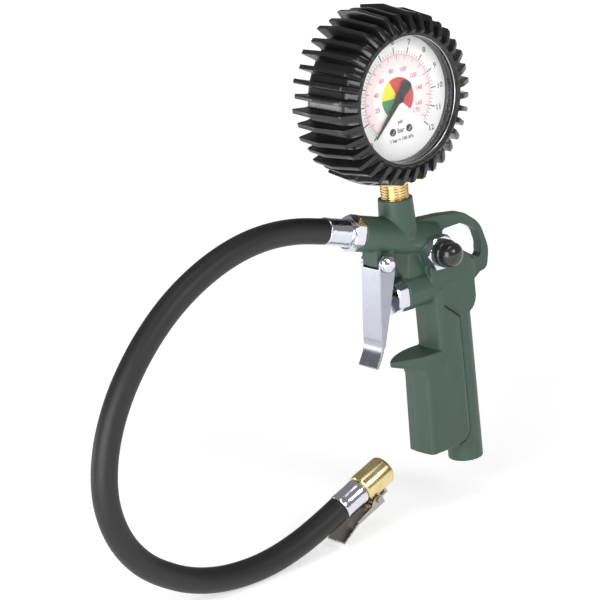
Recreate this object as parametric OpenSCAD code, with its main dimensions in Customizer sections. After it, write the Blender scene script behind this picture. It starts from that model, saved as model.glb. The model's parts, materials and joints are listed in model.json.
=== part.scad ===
// Hand-held tyre inflator: die-cast pistol body, dial gauge in a rubber boot,
// short hose and clip-on chuck.  Millimetres, +Z up, front towards -X,
// gauge face towards -Y.  Origin: centre of the air inlet's lower face.

/* [Body] */
// Distance of the gauge stem's axis in front of the inlet's axis
stem_dx = 28; // [24:0.5:34]
// Height of the gauge boss's top face
boss_top = 134; // [131:0.5:145]
// Wall of the gauge boss around the stem's thread
boss_wall = 1.42; // [1:0.02:3]
// Thickness of the grip from side to side
grip_w = 17.4; // [16:0.2:22]
// Distance of the lower grip's front face from the inlet's axis
grip_front = 26; // [23:0.5:30]
// Distance of the upper grip's front face from the inlet's axis
finger_front = 16.1; // [14:0.1:18]
// Height of the grip's lower face
grip_bottom = 10; // [6:0.5:14]
// Height of the finger hook's upper face
hook_top = 58.4; // [54:0.2:62]
// Reach of the finger hook's tip from the inlet's axis
hook_reach = 40.5; // [34:0.5:43]
// Radius of the air channel's round back
back_r = 8.3; // [8:0.1:9.5]

/* [Hanging loop] */
// Thickness of the hanging loop
loop_t = 5.5; // [4:0.5:8]

/* [Barrels] */
// Height of the valve barrel's axis
valve_z = 88.5; // [88:0.5:90]
// Radius of the valve barrel
valve_barrel_r = 8.4; // [8:0.1:9]
// Distance of the valve barrel's front face from the inlet's axis
valve_front = 31; // [30:0.5:33]
// Height of the outlet barrel's axis under the gauge
outlet_z = 115.5; // [115:0.5:118]
// Radius of the outlet barrel
outlet_r = 8.3; // [8:0.1:9]
// Upward tilt of the outlet barrel
outlet_tilt = 17.5; // [15:0.5:20]
// Distance of the outlet barrel's front face from the stem's axis
outlet_len = 26; // [25:0.5:29]

/* [Air inlet] */
// Radius of the inlet boss
inlet_boss_r = 8.25; // [8:0.05:9]
// Tapping radius of the inlet's thread
inlet_r = 5.9; // [5:0.1:6.4]
// Depth of the inlet's thread
inlet_depth = 12; // [8:0.5:16]
// Radius of the air channels
channel_r = 2.8; // [2:0.1:3]

/* [Trigger lever] */
// Outer width of the trigger lever
lever_w = 13; // [12.4:0.2:15]
// Sheet thickness of the trigger lever
lever_t = 1.2; // [1:0.1:1.5]
// Radius of the lever's pin
lever_pin_r = 2; // [1.6:0.1:2.2]
// Squeeze of the trigger lever in degrees
lever_travel = 10; // [6:0.5:10.5]

/* [Gauge] */
// Height of the gauge's centre above the boss's top face
gauge_rise = 47.6; // [46:0.2:52]
// Outer radius of the gauge case
case_r = 31.5; // [31:0.25:33]
// Wall of the gauge case
case_wall = 1.3; // [1:0.1:1.8]
// Radius of the stem's thread
stem_r = 6.58; // [6:0.01:6.8]
// Gap around the dial inside the case
dial_gap = 1.6; // [1:0.1:2.4]

/* [Rubber boot] */
// Thickness of the boot's wall around the case
boot_wall = 3.3; // [2.6:0.1:5]
// Height of the boot's tall ribs
rib_h = 6.4; // [4.2:0.1:8]
// Number of ribs around the boot
rib_count = 40; // [30:2:48]
// Thickness of each rib
rib_t = 2.3; // [1.6:0.1:2.8]
// How far the ribs stand out behind the boot's back
rib_behind = 3.6; // [0:0.2:4.6]
// Reach of the boot's front lip in over the case's edge
lip_over = 2.6; // [1.5:0.1:3.2]

/* [Bleed valve] */
// Width across the flats of the bleed valve's nut
bleed_af = 15; // [14:0.5:16]
// Radius of the bleed button
bleed_r = 5.8; // [5:0.1:6]
// Travel of the bleed button
bleed_travel = 2.5; // [1.5:0.1:3]

/* [Hose] */
// Outer diameter of the hose
hose_d = 11.8; // [10:0.2:12]
// Wall of the crimped ferrules
ferrule_wall = 0.6; // [0.5:0.05:1]
// Length of each crimped ferrule
ferrule_len = 14; // [12:0.5:14]
// Width across the flats of the hose nipple
nipple_af = 15; // [13:0.5:16]

/* [Chuck] */
// Outer radius of the chuck
chuck_r = 7; // [6.8:0.1:7.5]
// Length of the chuck in front of its ferrule
chuck_len = 17; // [16.5:0.5:19]
// Radius of the chuck's mouth
mouth_r = 4.2; // [4:0.05:4.4]
// Depth of the chuck's mouth
mouth_depth = 9; // [8.5:0.25:9.5]
// Width of the clip lever
clip_w = 12; // [11.6:0.2:13]

/* [Hidden] */
$fn = 64;
facets = 32;                // sides of rounded corners inside hull()
running = 0.05;             // radial gap between a pin and what turns or slides on it
seat = 0.02;                // gap left where fixed pieces meet
part_gap = 0.35;            // gap between pieces that pass each other
stem_x = -stem_dx;
gauge_z = boss_top + gauge_rise;
half_w = grip_w / 2;
boss_r = stem_r + boss_wall;
boss_bore = 12;             // depth of the stem's thread in its boss
body_green = [0.19, 0.30, 0.25];
brass = [0.80, 0.65, 0.32];
chrome = [0.80, 0.80, 0.83];
zinc = [0.70, 0.71, 0.75];
steel = [0.60, 0.61, 0.63];
black = [0.06, 0.06, 0.06];

// Grip
panel_x = -2.6;             // rear edge of the flat side panel
panel_top = 79.4;           // top of the panel at its diagonal corner
groove = 0.6;               // width and depth of the panel's groove
grip_flare = 1.5;           // how much the lower grip's front leans out at the foot
ridge = 0.7;                // rise of the parting ridge on the grip's front
hook_under = hook_top - 6.6;

// Bleed valve
bleed_x = -13.2;
bleed_z = 105.6;
bleed_boss_r = 7.3;
bleed_shank_r = 5;
bleed_shank = 5.7;
bleed_nut_t = 4;
bleed_guide_r = bleed_r + 1.1;
bleed_guide_t = 4;
bleed_stem_r = 1.2;
bleed_dome = 4.6;           // height of the button's dome
bleed_proud = 6.3;          // how far the button stands out of its guide

// Trigger lever and its pin
valve_x = -valve_front;
pin_x = valve_x - 11;
pin_z = 107;
lug_front = pin_x - 4.8;
lug_hw = lever_w / 2 - lever_t - 0.4;
lug_r = 3.4;
lever_top = 105.2;          // upper edge of the lever's front plate
lever_front = pin_x - 4.5;  // front of the plate at its upper edge
lever_low = [pin_x - 8.2, 67.4];    // front of the plate where its toe starts
lever_toe = [pin_x - 12.6, 59.4];   // lower edge of the toe
pin_head_r = 4.3;
pin_head_t = 3.4;
clip_ring_t = 0.8;

// Valve train, positions measured back from the valve barrel's front face
valve_bore_r = 5;
gland_thread = 7;
gland_hex_af = 15;
gland_hex_t = 6.5;
plunger_r = 1.6;
oring_t = 1.8;
seat_at = 15;
seat_t = 5;
disc_t = 3;
disc_r = 4.1;
spring_r = 3.3;
wire_r = 0.4;
port_x = valve_x + 11.5;

// Outlet
nipple_thread_r = 5;
nipple_thread = 10;
nipple_hex_t = 6;
barb_r = 3.1;
barb_len = 11;
crimp = 0.1;                // how much each ferrule squeezes the hose's radius
ferrule_r = hose_d / 2 - crimp + ferrule_wall;

// Gauge, heights along its axis from the stem's middle plane to the glass
case_back = 12.4;
case_front = 10.5;
dial_f = 8.1;
dial_t = 0.6;
glass_edge = 12.4;
glass_t = 1.6;
glass_dome = 2.2;
ring_front = 15;
boot_r = case_r + boot_wall;
rib_r = boot_r + rib_h;
boot_open_r = case_r - lip_over;
dial_r = case_r - case_wall - dial_gap;
pad_half = 37;              // half the angle that the smooth pad around the stem takes
boot_back = 14.7;
boot_front = 17.2;
thread_shown = 7.2;         // length of thread between the boss and the socket block
block_w = 14;
block_t = 12;
block_top = 22;             // upper end of the socket block below the gauge's centre
tongue_top = 15;
tube_r = 21;
tube_t = 2.2;
tube_back = 6.5;
tube_front = 1.5;
tube_end = -15;             // direction of the tube's free end
tube_start = 250;           // direction where the tube leaves the socket
gear_module = 0.4;
pinion_teeth = 8;
sector_teeth = 64;
gear_gap = 0.12;
mesh_dir = 60;              // direction from the sector's arbor to the pinion
gear_dist = gear_module * (pinion_teeth + sector_teeth) / 2;
sector_pos = -gear_dist * [cos(mesh_dir), sin(mesh_dir)];
sector_swing = 270 * pinion_teeth / sector_teeth;
tail_len = 5;
tail_dir = -82.4;
tail_pin = sector_pos + tail_len * [cos(tail_dir), sin(tail_dir)];
tip_pin = [20.4, -6.6];
link_slack = 0.32;          // play of the link on the tip's pin
arbor_r = 0.7;
sector_f = 1.5;             // rear face of the toothed sector
link_f = 2.9;
plate_t = 1;
plate_front_f = 4.2;
plate_back_f = -1.5;
pointer_f = 9.2;
pointer_len = 22;
pointer_tail = 9;
zero_dir = 225;             // direction of the pointer at zero, anticlockwise from +X
pillars = [[6.8, -4.2], [-10.5, 3.2], [-12, -9.2]];
dial_fix = [[-4.9, -14.9], [4.9, -14.9]];

// Chuck, measured along its axis from the ferrule's mouth
chuck_at = [-78.5, 0, -0.7];
chuck_tilt = 20;
clip_at = 16.8;             // clip pin from the ferrule's mouth
clip_drop = chuck_r;        // clip pin below the chuck's axis
clip_pin_r = 1;
clip_ear_r = 1.8;
clip_t = 0.9;
clip_web = chuck_r + 2.2;   // inner face of the clip lever's web below the axis
clip_travel = 7;
lug_w = 7.8;
tooth_w = 3.4;
tooth_at = 24.6;

// Centre line of the free hose from ferrule to ferrule, x and z, in the plane y = 0
hose_route = [[-62.4, 126.3], [-72, 129.3], [-87, 133.2], [-102, 135], [-117, 134.4], [-132, 131.3],
    [-146.5, 126], [-160, 118.8], [-172, 110], [-182.5, 100], [-191.5, 89], [-198.5, 77.5],
    [-203.5, 65.5], [-206.3, 53], [-206.5, 41], [-203.8, 29], [-198.5, 18.2], [-190.5, 8.5],
    [-180, 0.5], [-167, -6.5], [-152, -11.2], [-136, -13.2], [-120.5, -12.7], [-105.5, -9.9],
    [-91.5, -5.6], [-78.5, -0.7], [-68.2, 3]];

// ---- helpers

function flat(p) = [p[0], p[1]];
function unit(v) = v / norm(v);
function turn(a) = a > 180 ? a - 360 : a < -180 ? a + 360 : a;

// The arc that rounds corner c, between p and n, to the radius c[2]
function corner(p, c, n, steps) =
    c[2] == 0 ? [flat(c)] :
    let (a = unit(flat(p) - flat(c)), b = unit(flat(n) - flat(c)), half = acos(a * b) / 2,
         mid = flat(c) + unit(a + b) * c[2] / sin(half),
         from = flat(c) + a * c[2] / tan(half) - mid, to = flat(c) + b * c[2] / tan(half) - mid,
         start = atan2(from[1], from[0]), sweep = turn(atan2(to[1], to[0]) - start))
    [for (i = [0:steps]) mid + c[2] * [cos(start + sweep * i / steps), sin(start + sweep * i / steps)]];

// An outline of [x, y, radius] corners, each rounded to its own radius
function rounded(pts, steps = 6) = let (n = len(pts))
    [for (i = [0:n - 1]) each corner(pts[(i + n - 1) % n], pts[i], pts[(i + 1) % n], steps)];

// A side view drawn in x and z, given a thickness along y
module side_plate(pts, t) {
    rotate([90, 0, 0]) translate([0, 0, -t / 2]) linear_extrude(t) polygon(pts);
}

// A hexagon's prism along z with its corners turned off to a cone at the outer end
module hex_nut(af, t) {
    corner_r = af / sqrt(3);
    intersection() {
        cylinder(h = t, r = corner_r, $fn = 6);
        union() {
            cylinder(h = t - 1, r = corner_r);
            translate([0, 0, t - 1]) cylinder(h = 1, r1 = corner_r, r2 = corner_r - 1.6);
        }
    }
}

// Axes of the main groups: local z runs along each one
module outlet_axis() {
    translate([stem_x, 0, outlet_z]) rotate([0, outlet_tilt - 90, 0]) children();
}
module valve_axis() {
    translate([valve_x, 0, valve_z]) rotate([0, 90, 0]) children();
}
module bleed_axis() {
    translate([bleed_x, -half_w, bleed_z]) rotate([90, 0, 0]) children();
}
module gauge_axis() {
    translate([stem_x, 0, gauge_z]) rotate([90, 0, 0]) children();
}
module chuck_axis() {
    translate(chuck_at) rotate([0, -chuck_tilt, 0]) children();
}
module along_chuck(u) {
    chuck_axis() translate([u, 0, 0]) rotate([0, 90, 0]) children();
}

// ---- die-cast body

module grip_plan(front, back) {
    polygon(rounded([[-front - ridge, 0, 6], [-front, -half_w, 2.6], [back, -half_w, 0.8],
        [back, half_w, 0.8], [-front, half_w, 2.6]]));
}

module grip() {
    hull() {
        translate([0, 0, grip_bottom]) linear_extrude(0.1) grip_plan(grip_front + grip_flare, panel_x);
        translate([0, 0, hook_under + 1]) linear_extrude(0.1) grip_plan(grip_front, panel_x);
    }
    intersection() {
        translate([0, 0, hook_under]) linear_extrude(panel_top - hook_under + 8)
            grip_plan(finger_front, panel_x);
        side_plate([[-40, hook_under - 1], [panel_x + 1, hook_under - 1], [panel_x + 1, panel_top - 7.8],
            [panel_x - 9, panel_top], [panel_x - 9, panel_top + 9], [-40, panel_top + 9]], grip_w + 2);
    }
}

// A leaf-shaped shelf between two arcs, thinner towards its blunt tip
module finger_hook() {
    reach = hook_reach - 19.6;
    arc_r = (reach * reach + half_w * half_w) / (2 * half_w);
    intersection() {
        translate([-20, 0, 0]) intersection_for (s = [-1, 1])
            translate([0, s * (arc_r - half_w), hook_under - 4]) cylinder(h = 12, r = arc_r, $fn = 128);
        side_plate(rounded([[-14, hook_top, 0], [-hook_reach, hook_top, 1], [-hook_reach, hook_top - 2.8, 1],
            [-grip_front - 1, hook_under, 4], [-grip_front, hook_under - 4, 0], [-14, hook_under - 4, 0]]), grip_w);
    }
}

module hanging_loop() {
    side_plate(rounded([[stem_x + 8, 121.4, 0], [-3, 119.9, 10], [9.8, 117.8, 12], [19.8, 110.2, 14],
        [24, 97, 12], [22, 87.1, 4], [17.4, 86.7, 3], [11, 82.6, 5], [8.6, 76, 0], [0, 76, 0],
        [-16, 113, 0]]), loop_t);
}

// The eye that the loop leaves open
module loop_eye() {
    side_plate(rounded([[-5.5, 112.6, 1.5], [8.5, 112.8, 6], [17, 108, 6], [19.2, 101, 8], [18.6, 93.2, 1.8],
        [12.2, 96.8, 3], [3, 103, 6]]), 3 * grip_w);
}

// Metal between the two barrels and behind the valve barrel
module core() {
    side_plate(rounded([[-14.6, 72, 0], [-14.6, 84, 0], [-17.5, 88, 0], [-17.5, 98, 3], [-10, 108, 3], [-1, 106, 6], [8.6, 96.6, 5], [8.6, 74, 8],
        [0, 70, 0]]), grip_w - 1);
    hull() {
        translate([2, 0, 81]) cylinder(h = 17, r = 7.2, $fn = facets);
        translate([15, 0, 90]) cylinder(h = 2.5, r = loop_t / 2 - 0.2, $fn = facets);
    }
    side_plate([[-35, 113], [-35, 104], [-28, valve_z + 5], [-12, valve_z + 5], [-12, 112]], 6.6);
    side_plate([[-25.5, 112], [-28.5, valve_z + 6], [-12, valve_z + 6], [-12, 110]], 8.6);
}

module lever_lug() {
    difference() {
        union() {
            side_plate([[lug_front, 106.2], [pin_x - 2.9, 106], [pin_x - 1.2, pin_z - 3.1], [pin_x + 1, pin_z - lug_r],
                [-36, 106], [-36, 114], [lug_front, 117]], 2 * lug_hw);
            translate([pin_x, lug_hw, pin_z]) rotate([90, 0, 0]) cylinder(h = 2 * lug_hw, r = lug_r);
        }
        for (s = [-1, 1]) translate([pin_x + 1, s * (lug_hw + 1), 112.2]) cube([4.4, 4, 3.6], center = true);
    }
}

module panel_groove() {
    for (s = [-1, 1]) translate([0, s * half_w, 0]) {
        side_plate([[panel_x - groove, 14], [panel_x, 14], [panel_x, 71.8], [panel_x - 9.3, panel_top],
            [panel_x - 9.3, panel_top - groove * 1.4], [panel_x - groove, 71.4]], 2 * groove);
        side_plate([[panel_x - groove, 14], [panel_x, 14], [panel_x - 3.4, 10.6], [panel_x - 8, 10],
            [panel_x - 8, 10.6], [panel_x - 3.8, 11.2]], 2 * groove);
    }
}

module air_ways() {
    translate([0, 0, -1]) cylinder(h = inlet_depth + 1, r = inlet_r);
    cylinder(h = valve_z, r = channel_r);
    valve_axis() translate([0, 0, -1]) cylinder(h = valve_front, r = valve_bore_r);
    translate([port_x, 0, valve_z]) cylinder(h = outlet_z - valve_z - 1, r = 1.8);
    outlet_axis() {
        translate([0, 0, outlet_len - nipple_thread - 1]) cylinder(h = nipple_thread + 2, r = nipple_thread_r);
        translate([0, 0, -15.4]) cylinder(h = outlet_len + 10, r = channel_r);
    }
    translate([stem_x, 0, boss_top - boss_bore]) cylinder(h = boss_bore + 1, r = stem_r + seat);
    translate([stem_x, 0, outlet_z]) cylinder(h = boss_top - boss_bore - outlet_z + 1, r = channel_r);
    bleed_axis() {
        translate([0, 0, -bleed_shank]) cylinder(h = bleed_shank + 1, r = bleed_shank_r + seat);
        translate([0, 0, -half_w - 2]) cylinder(h = half_w, r = 4);
    }
    translate([pin_x, half_w, pin_z]) rotate([90, 0, 0]) cylinder(h = grip_w, r = lever_pin_r + seat);
}

module body() {
    color(body_green) difference() {
        union() {
            difference() {
                union() {
                    grip();
                    finger_hook();
                    cylinder(h = grip_bottom + 1, r = inlet_boss_r);
                    translate([0, 0, grip_bottom]) cylinder(h = 84, r = back_r);
                    core();
                    hanging_loop();
                }
                loop_eye();
            }
            valve_axis() cylinder(h = valve_front + 2, r = valve_barrel_r);
            outlet_axis() translate([0, 0, -20]) cylinder(h = outlet_len + 20, r = outlet_r);
            translate([stem_x, 0, outlet_z]) cylinder(h = boss_top - outlet_z, r1 = boss_r + 0.8, r2 = boss_r);
            bleed_axis() translate([0, 0, -half_w]) cylinder(h = half_w, r = bleed_boss_r);
            lever_lug();
        }
        panel_groove();
        air_ways();
    }
}

// ---- gauge

module gauge_stem() {
    color(brass) difference() {
        union() {
            translate([stem_x, 0, boss_top - boss_bore + 1]) cylinder(h = boss_bore - 1 + thread_shown, r = stem_r);
            translate([stem_x - block_w / 2, -block_t / 2, boss_top + thread_shown])
                cube([block_w, block_t, gauge_rise - thread_shown - block_top]);
            translate([stem_x - block_w / 2, -plate_back_f, gauge_z - block_top - 1])
                cube([block_w, tube_back + plate_back_f, block_top - tongue_top + 1]);
        }
        translate([stem_x, 0, boss_top - boss_bore]) cylinder(h = 40, r = 1.8);
    }
}

module stem_seal() {
    color("peru") translate([stem_x, 0, boss_top - boss_bore]) difference() {
        cylinder(h = 1, r = stem_r - 0.1);
        translate([0, 0, -1]) cylinder(h = 3, r = channel_r);
    }
}

module gauge_case() {
    color(black) difference() {
        gauge_axis() rotate_extrude($fn = 96) polygon([[0, -case_back], [case_r, -case_back], [case_r, case_front],
            [case_r - case_wall, case_front], [case_r - case_wall, case_wall - case_back], [0, case_wall - case_back]]);
        translate([stem_x - block_w / 2 - seat, -block_t / 2 - seat, gauge_z - case_r - 3])
            cube([block_w + 2 * seat, block_t + 2 * seat, 6]);
    }
}

module window_ring() {
    color(black) gauge_axis() rotate_extrude($fn = 96) polygon([[case_r, case_front + seat], [case_r, ring_front],
        [dial_r + 0.6, ring_front], [dial_r + 0.6, glass_edge + glass_t + seat],
        [case_r - case_wall + seat, glass_edge + glass_t + seat], [case_r - case_wall + seat, case_front + seat]]);
}

// A shallow dome of clear plastic inside the ring
module gauge_window() {
    rim = case_r - case_wall - seat;
    dome_r = (dial_r * dial_r + glass_dome * glass_dome) / (2 * glass_dome);
    steps = 10;
    dome = [for (i = [0:steps]) let (a = asin(dial_r / dome_r) * (1 - i / steps))
        [dome_r * sin(a), glass_edge + glass_t + glass_dome - dome_r * (1 - cos(a))]];
    color([0.85, 0.9, 0.92, 0.3]) gauge_axis() rotate_extrude($fn = 96) polygon(concat(
        [[rim, glass_edge], [rim, glass_edge + glass_t]], dome,
        [for (i = [steps:-1:0]) [dome[i][0], dome[i][1] - glass_t]]));
}

module dial() {
    color("white") gauge_axis() difference() {
        translate([0, 0, dial_f - dial_t]) cylinder(h = dial_t, r = dial_r);
        translate([0, 0, dial_f - 2]) cylinder(h = 3, r = 2);
        for (p = dial_fix) translate([p[0], p[1], dial_f - 2]) cylinder(h = 3, r = 0.9);
    }
}

module dial_screws() {
    color(black) gauge_axis() for (p = dial_fix) translate([p[0], p[1], 0]) difference() {
        union() {
            translate([0, 0, dial_f]) cylinder(h = 0.7, r = 1.7);
            translate([0, 0, plate_front_f + plate_t]) cylinder(h = dial_f - plate_front_f - plate_t, r = 0.85);
        }
        translate([-2, -0.2, dial_f + 0.35]) cube([4, 0.4, 1]);
    }
}

module movement_plate(pts, f) {
    translate([0, 0, f]) difference() {
        linear_extrude(plate_t) polygon(rounded(pts, 4));
        for (p = [[0, 0], sector_pos]) translate([p[0], p[1], -1]) cylinder(h = plate_t + 2, r = arbor_r + running);
    }
}

module movement_back_plate() {
    color(brass) gauge_axis() movement_plate([[-14.4, -11, 2], [-13.2, 6, 2], [2.5, 4.6, 2], [9.6, -1.6, 2],
        [8.6, -8, 2], [2, -17, 2], [-8, -17, 2]], plate_back_f);
}

module movement_front_plate() {
    color(brass) gauge_axis() movement_plate([[-14.4, -11, 2], [-13.2, 6, 2], [2.5, 4.6, 2], [9.6, -1.6, 2],
        [8.2, -16.8, 2], [-8, -16.8, 2]], plate_front_f);
}

module movement_pillars() {
    color(brass) gauge_axis() for (p = pillars)
        translate([p[0], p[1], plate_back_f + plate_t]) cylinder(h = plate_front_f - plate_back_f - plate_t, r = 1.1);
}

// A C-shaped tube with a flattened section
module bourdon_tube() {
    color("peru") gauge_axis() rotate([0, 0, tube_end]) rotate_extrude(angle = tube_start - tube_end, $fn = 96)
        polygon(rounded([[tube_r - tube_t / 2, -tube_back, 1], [tube_r + tube_t / 2, -tube_back, 1],
            [tube_r + tube_t / 2, tube_front, 1], [tube_r - tube_t / 2, tube_front, 1]]));
}

// Brass end piece on the tube's free end, with the link's pin
module bourdon_tip() {
    color(brass) gauge_axis() {
        difference() {
            rotate([0, 0, tube_end]) translate([tube_r - 1.6, -4.2, -5.6]) cube([3.2, 4.1, 6.6]);
            translate([0, 0, -8]) cylinder(h = 12, r = 18.6);
        }
        hull() {
            translate([tip_pin[0], tip_pin[1], 1]) cylinder(h = 1.2, r = 0.8, $fn = facets);
            rotate([0, 0, tube_end]) translate([tube_r, -3, 1]) cylinder(h = 1.2, r = 1.2, $fn = facets);
        }
        translate([tip_pin[0], tip_pin[1], 1]) cylinder(h = 3.6, r = 0.5);
    }
}

module link() {
    d = tip_pin - tail_pin;
    color(steel) gauge_axis() translate([tail_pin[0], tail_pin[1], link_f]) rotate([0, 0, atan2(d[1], d[0])])
    difference() {
        union() {
            translate([0, -0.7, 0]) cube([norm(d), 1.4, 0.7]);
            for (x = [0, norm(d)]) translate([x, 0, 0]) cylinder(h = 0.7, r = 1.7);
        }
        translate([0, 0, -1]) cylinder(h = 3, r = 0.5 + running);
        translate([norm(d), 0, -1]) cylinder(h = 3, r = 0.5 + link_slack);
    }
}

// One gear outline: straight-sided teeth standing on the root circle
function gear(teeth, first, last) = let (pitch_r = gear_module * teeth / 2, step = 360 / teeth)
    [for (i = [first:last]) each [for (k = [[-0.30, -0.5], [-0.13, 0.34], [0.13, 0.34], [0.30, -0.5]])
        (pitch_r + k[1] * 0.9 - gear_gap) * [cos((i + k[0]) * step), sin((i + k[0]) * step)]]];

module sector_gear() {
    reach = ceil(sector_swing / (360 / sector_teeth)) + 1;
    color(brass) gauge_axis() translate([sector_pos[0], sector_pos[1], sector_f]) {
        rotate([0, 0, mesh_dir]) difference() {
            linear_extrude(1) polygon(concat([[0, 0]], gear(sector_teeth, -reach, 1)));
            rotate([0, 0, -18]) translate([7.8, 0, -1]) cylinder(h = 3, r = 2);
        }
        cylinder(h = 1, r = 2.2);
        rotate([0, 0, tail_dir]) translate([0, -1, 0]) cube([tail_len, 2, 1]);
        translate([tail_pin[0] - sector_pos[0], tail_pin[1] - sector_pos[1], 0]) {
            cylinder(h = 1, r = 1.5);
            cylinder(h = link_f - sector_f + 1, r = 0.5);
        }
        translate([0, 0, plate_back_f - sector_f]) cylinder(h = plate_front_f + plate_t - plate_back_f, r = arbor_r);
    }
}

module pinion() {
    color(brass) gauge_axis() {
        rotate([0, 0, mesh_dir + 180 + 180 / pinion_teeth]) translate([0, 0, sector_f - 0.4])
            linear_extrude(1.8) polygon(gear(pinion_teeth, 0, pinion_teeth - 1));
        translate([0, 0, plate_back_f]) cylinder(h = pointer_f + 1 - plate_back_f, r = arbor_r);
    }
}

// Flat spiral that keeps the gear teeth pressed together
module hairspring() {
    turns = 3;
    n = 60;
    spiral = [for (i = [0:n]) let (a = 360 * turns * i / n, r = 1.5 + 3.3 * i / n) r * [cos(a), sin(a)]];
    outer = [for (i = [n:-1:0]) let (a = 360 * turns * i / n, r = 1.72 + 3.3 * i / n) r * [cos(a), sin(a)]];
    color(steel) gauge_axis() translate([0, 0, plate_front_f - 0.75]) linear_extrude(0.45)
        polygon(concat(spiral, outer));
}

module pointer() {
    color(black) gauge_axis() translate([0, 0, pointer_f]) rotate([0, 0, zero_dir]) difference() {
        union() {
            linear_extrude(0.5) polygon(rounded([[pointer_len, 0, 0.2], [2, 0.9, 0], [-pointer_tail, 2.8, 2.1],
                [-pointer_tail, -2.8, 2.1], [2, -0.9, 0]], 4));
            cylinder(h = 0.9, r = 2.5);
        }
        translate([0, 0, -1]) cylinder(h = 3, r = arbor_r + seat);
    }
}

// Profile of the boot's ribs over its whole depth, radius against height
module rib_envelope(drop) {
    rotate_extrude($fn = 96) polygon([[boot_open_r + 1.4, 0], [boot_r - 2, -boot_back],
        [rib_r - 1.6 - drop, -boot_back - rib_behind],
        [rib_r - drop, -4], [rib_r - 2.4 - drop, boot_front - 3.2], [rib_r - 5.2 - drop, boot_front + 0.8],
        [boot_open_r + 1.4, boot_front + 0.8]]);
}

module rib_rays(first) {
    for (i = [first:2:rib_count - 1]) rotate([0, 0, 360 * (i + 0.5) / rib_count - 90])
        translate([boot_open_r + 1.4, -rib_t / 2, -boot_back - rib_behind])
            cube([14, rib_t, boot_back + rib_behind + boot_front + 1]);
}

// Smooth pad that joins the ribs on both sides of the stem
module stem_pad() {
    rotate([0, 0, -90 - pad_half]) rotate_extrude(angle = 2 * pad_half, $fn = 96)
        polygon([[boot_r - 1, -boot_back], [rib_r - 1.3, -boot_back - rib_behind], [rib_r + 0.3, -4],
            [rib_r - 0.3, 4], [boot_r - 1, 4]]);
}

module rubber_boot() {
    color([0.04, 0.04, 0.04]) difference() {
        gauge_axis() union() {
            rotate_extrude($fn = 96) polygon([[boot_open_r, boot_front], [boot_r - 1.6, boot_front],
                [boot_r, boot_front - 2], [boot_r, -boot_back], [24, -boot_back], [24, -case_back - seat],
                [case_r + seat, -case_back - seat], [case_r + seat, ring_front + seat], [boot_open_r, ring_front + seat]]);
            for (k = [0, 1]) intersection() {
                difference() {
                    rib_envelope(1.4 * k);
                    translate([0, 0, -boot_back - 5]) cylinder(h = boot_back + boot_front + 4, r = boot_r - 0.5);
                }
                rib_rays(k);
            }
            stem_pad();
        }
        translate([stem_x - block_w / 2 - 1, -block_t / 2 - 1, gauge_z - rib_r - 2])
            cube([block_w + 2, block_t + 2, rib_r - case_r + 4]);
    }
}

// ---- hose and its crimped ends

module barbed_tail(len) {
    cylinder(h = len, r = barb_r - 0.4);
    for (i = [0:2]) translate([0, 0, len - 3.4 - 3.2 * i]) cylinder(h = 2.6, r1 = barb_r, r2 = barb_r - 0.6);
}

module hose_nipple() {
    color(chrome) outlet_axis() difference() {
        union() {
            translate([0, 0, outlet_len - nipple_thread]) cylinder(h = nipple_thread, r = nipple_thread_r - seat);
            translate([0, 0, outlet_len]) hex_nut(nipple_af, nipple_hex_t);
            translate([0, 0, outlet_len + nipple_hex_t]) barbed_tail(barb_len);
        }
        translate([0, 0, outlet_len - nipple_thread - 1])
            cylinder(h = nipple_thread + nipple_hex_t + barb_len + 2, r = 1.6);
    }
}

module ferrule() {
    wall = ferrule_r - ferrule_wall;
    rotate_extrude() polygon([[ferrule_r - 1.2, 0], [ferrule_r, 0.8], [ferrule_r, ferrule_len - 0.5],
        [ferrule_r - 0.4, ferrule_len], [wall, ferrule_len], [wall, 1.4], [barb_r + 0.2, 1.4], [barb_r + 0.2, 0]]);
}

module gun_ferrule() {
    color(chrome) outlet_axis() translate([0, 0, outlet_len + nipple_hex_t]) ferrule();
}

// Tube swept through the route's points, its rings square to the line
module hose() {
    sides = 12;
    n = len(hose_route);
    function along(i) = unit(hose_route[min(i + 1, n - 1)] - hose_route[max(i - 1, 0)]);
    rings = [for (i = [0:n - 1]) for (k = [0:sides - 1])
        let (a = 360 * k / sides, t = along(i), p = hose_route[i], r = hose_d / 2)
        [p[0] - t[1] * r * cos(a), r * sin(a), p[1] + t[0] * r * cos(a)]];
    caps = [[for (k = [sides - 1:-1:0]) k], [for (k = [0:sides - 1]) (n - 1) * sides + k]];
    walls = [for (i = [0:n - 2]) for (k = [0:sides - 1])
        [i * sides + k, i * sides + (k + 1) % sides, (i + 1) * sides + (k + 1) % sides, (i + 1) * sides + k]];
    color([0.09, 0.09, 0.09]) polyhedron(points = rings, faces = concat(caps, walls), convexity = 8);
}

// ---- chuck

module chuck_ferrule() {
    color(chrome) along_chuck(ferrule_len - 1) mirror([0, 0, 1]) ferrule();
}

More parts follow.
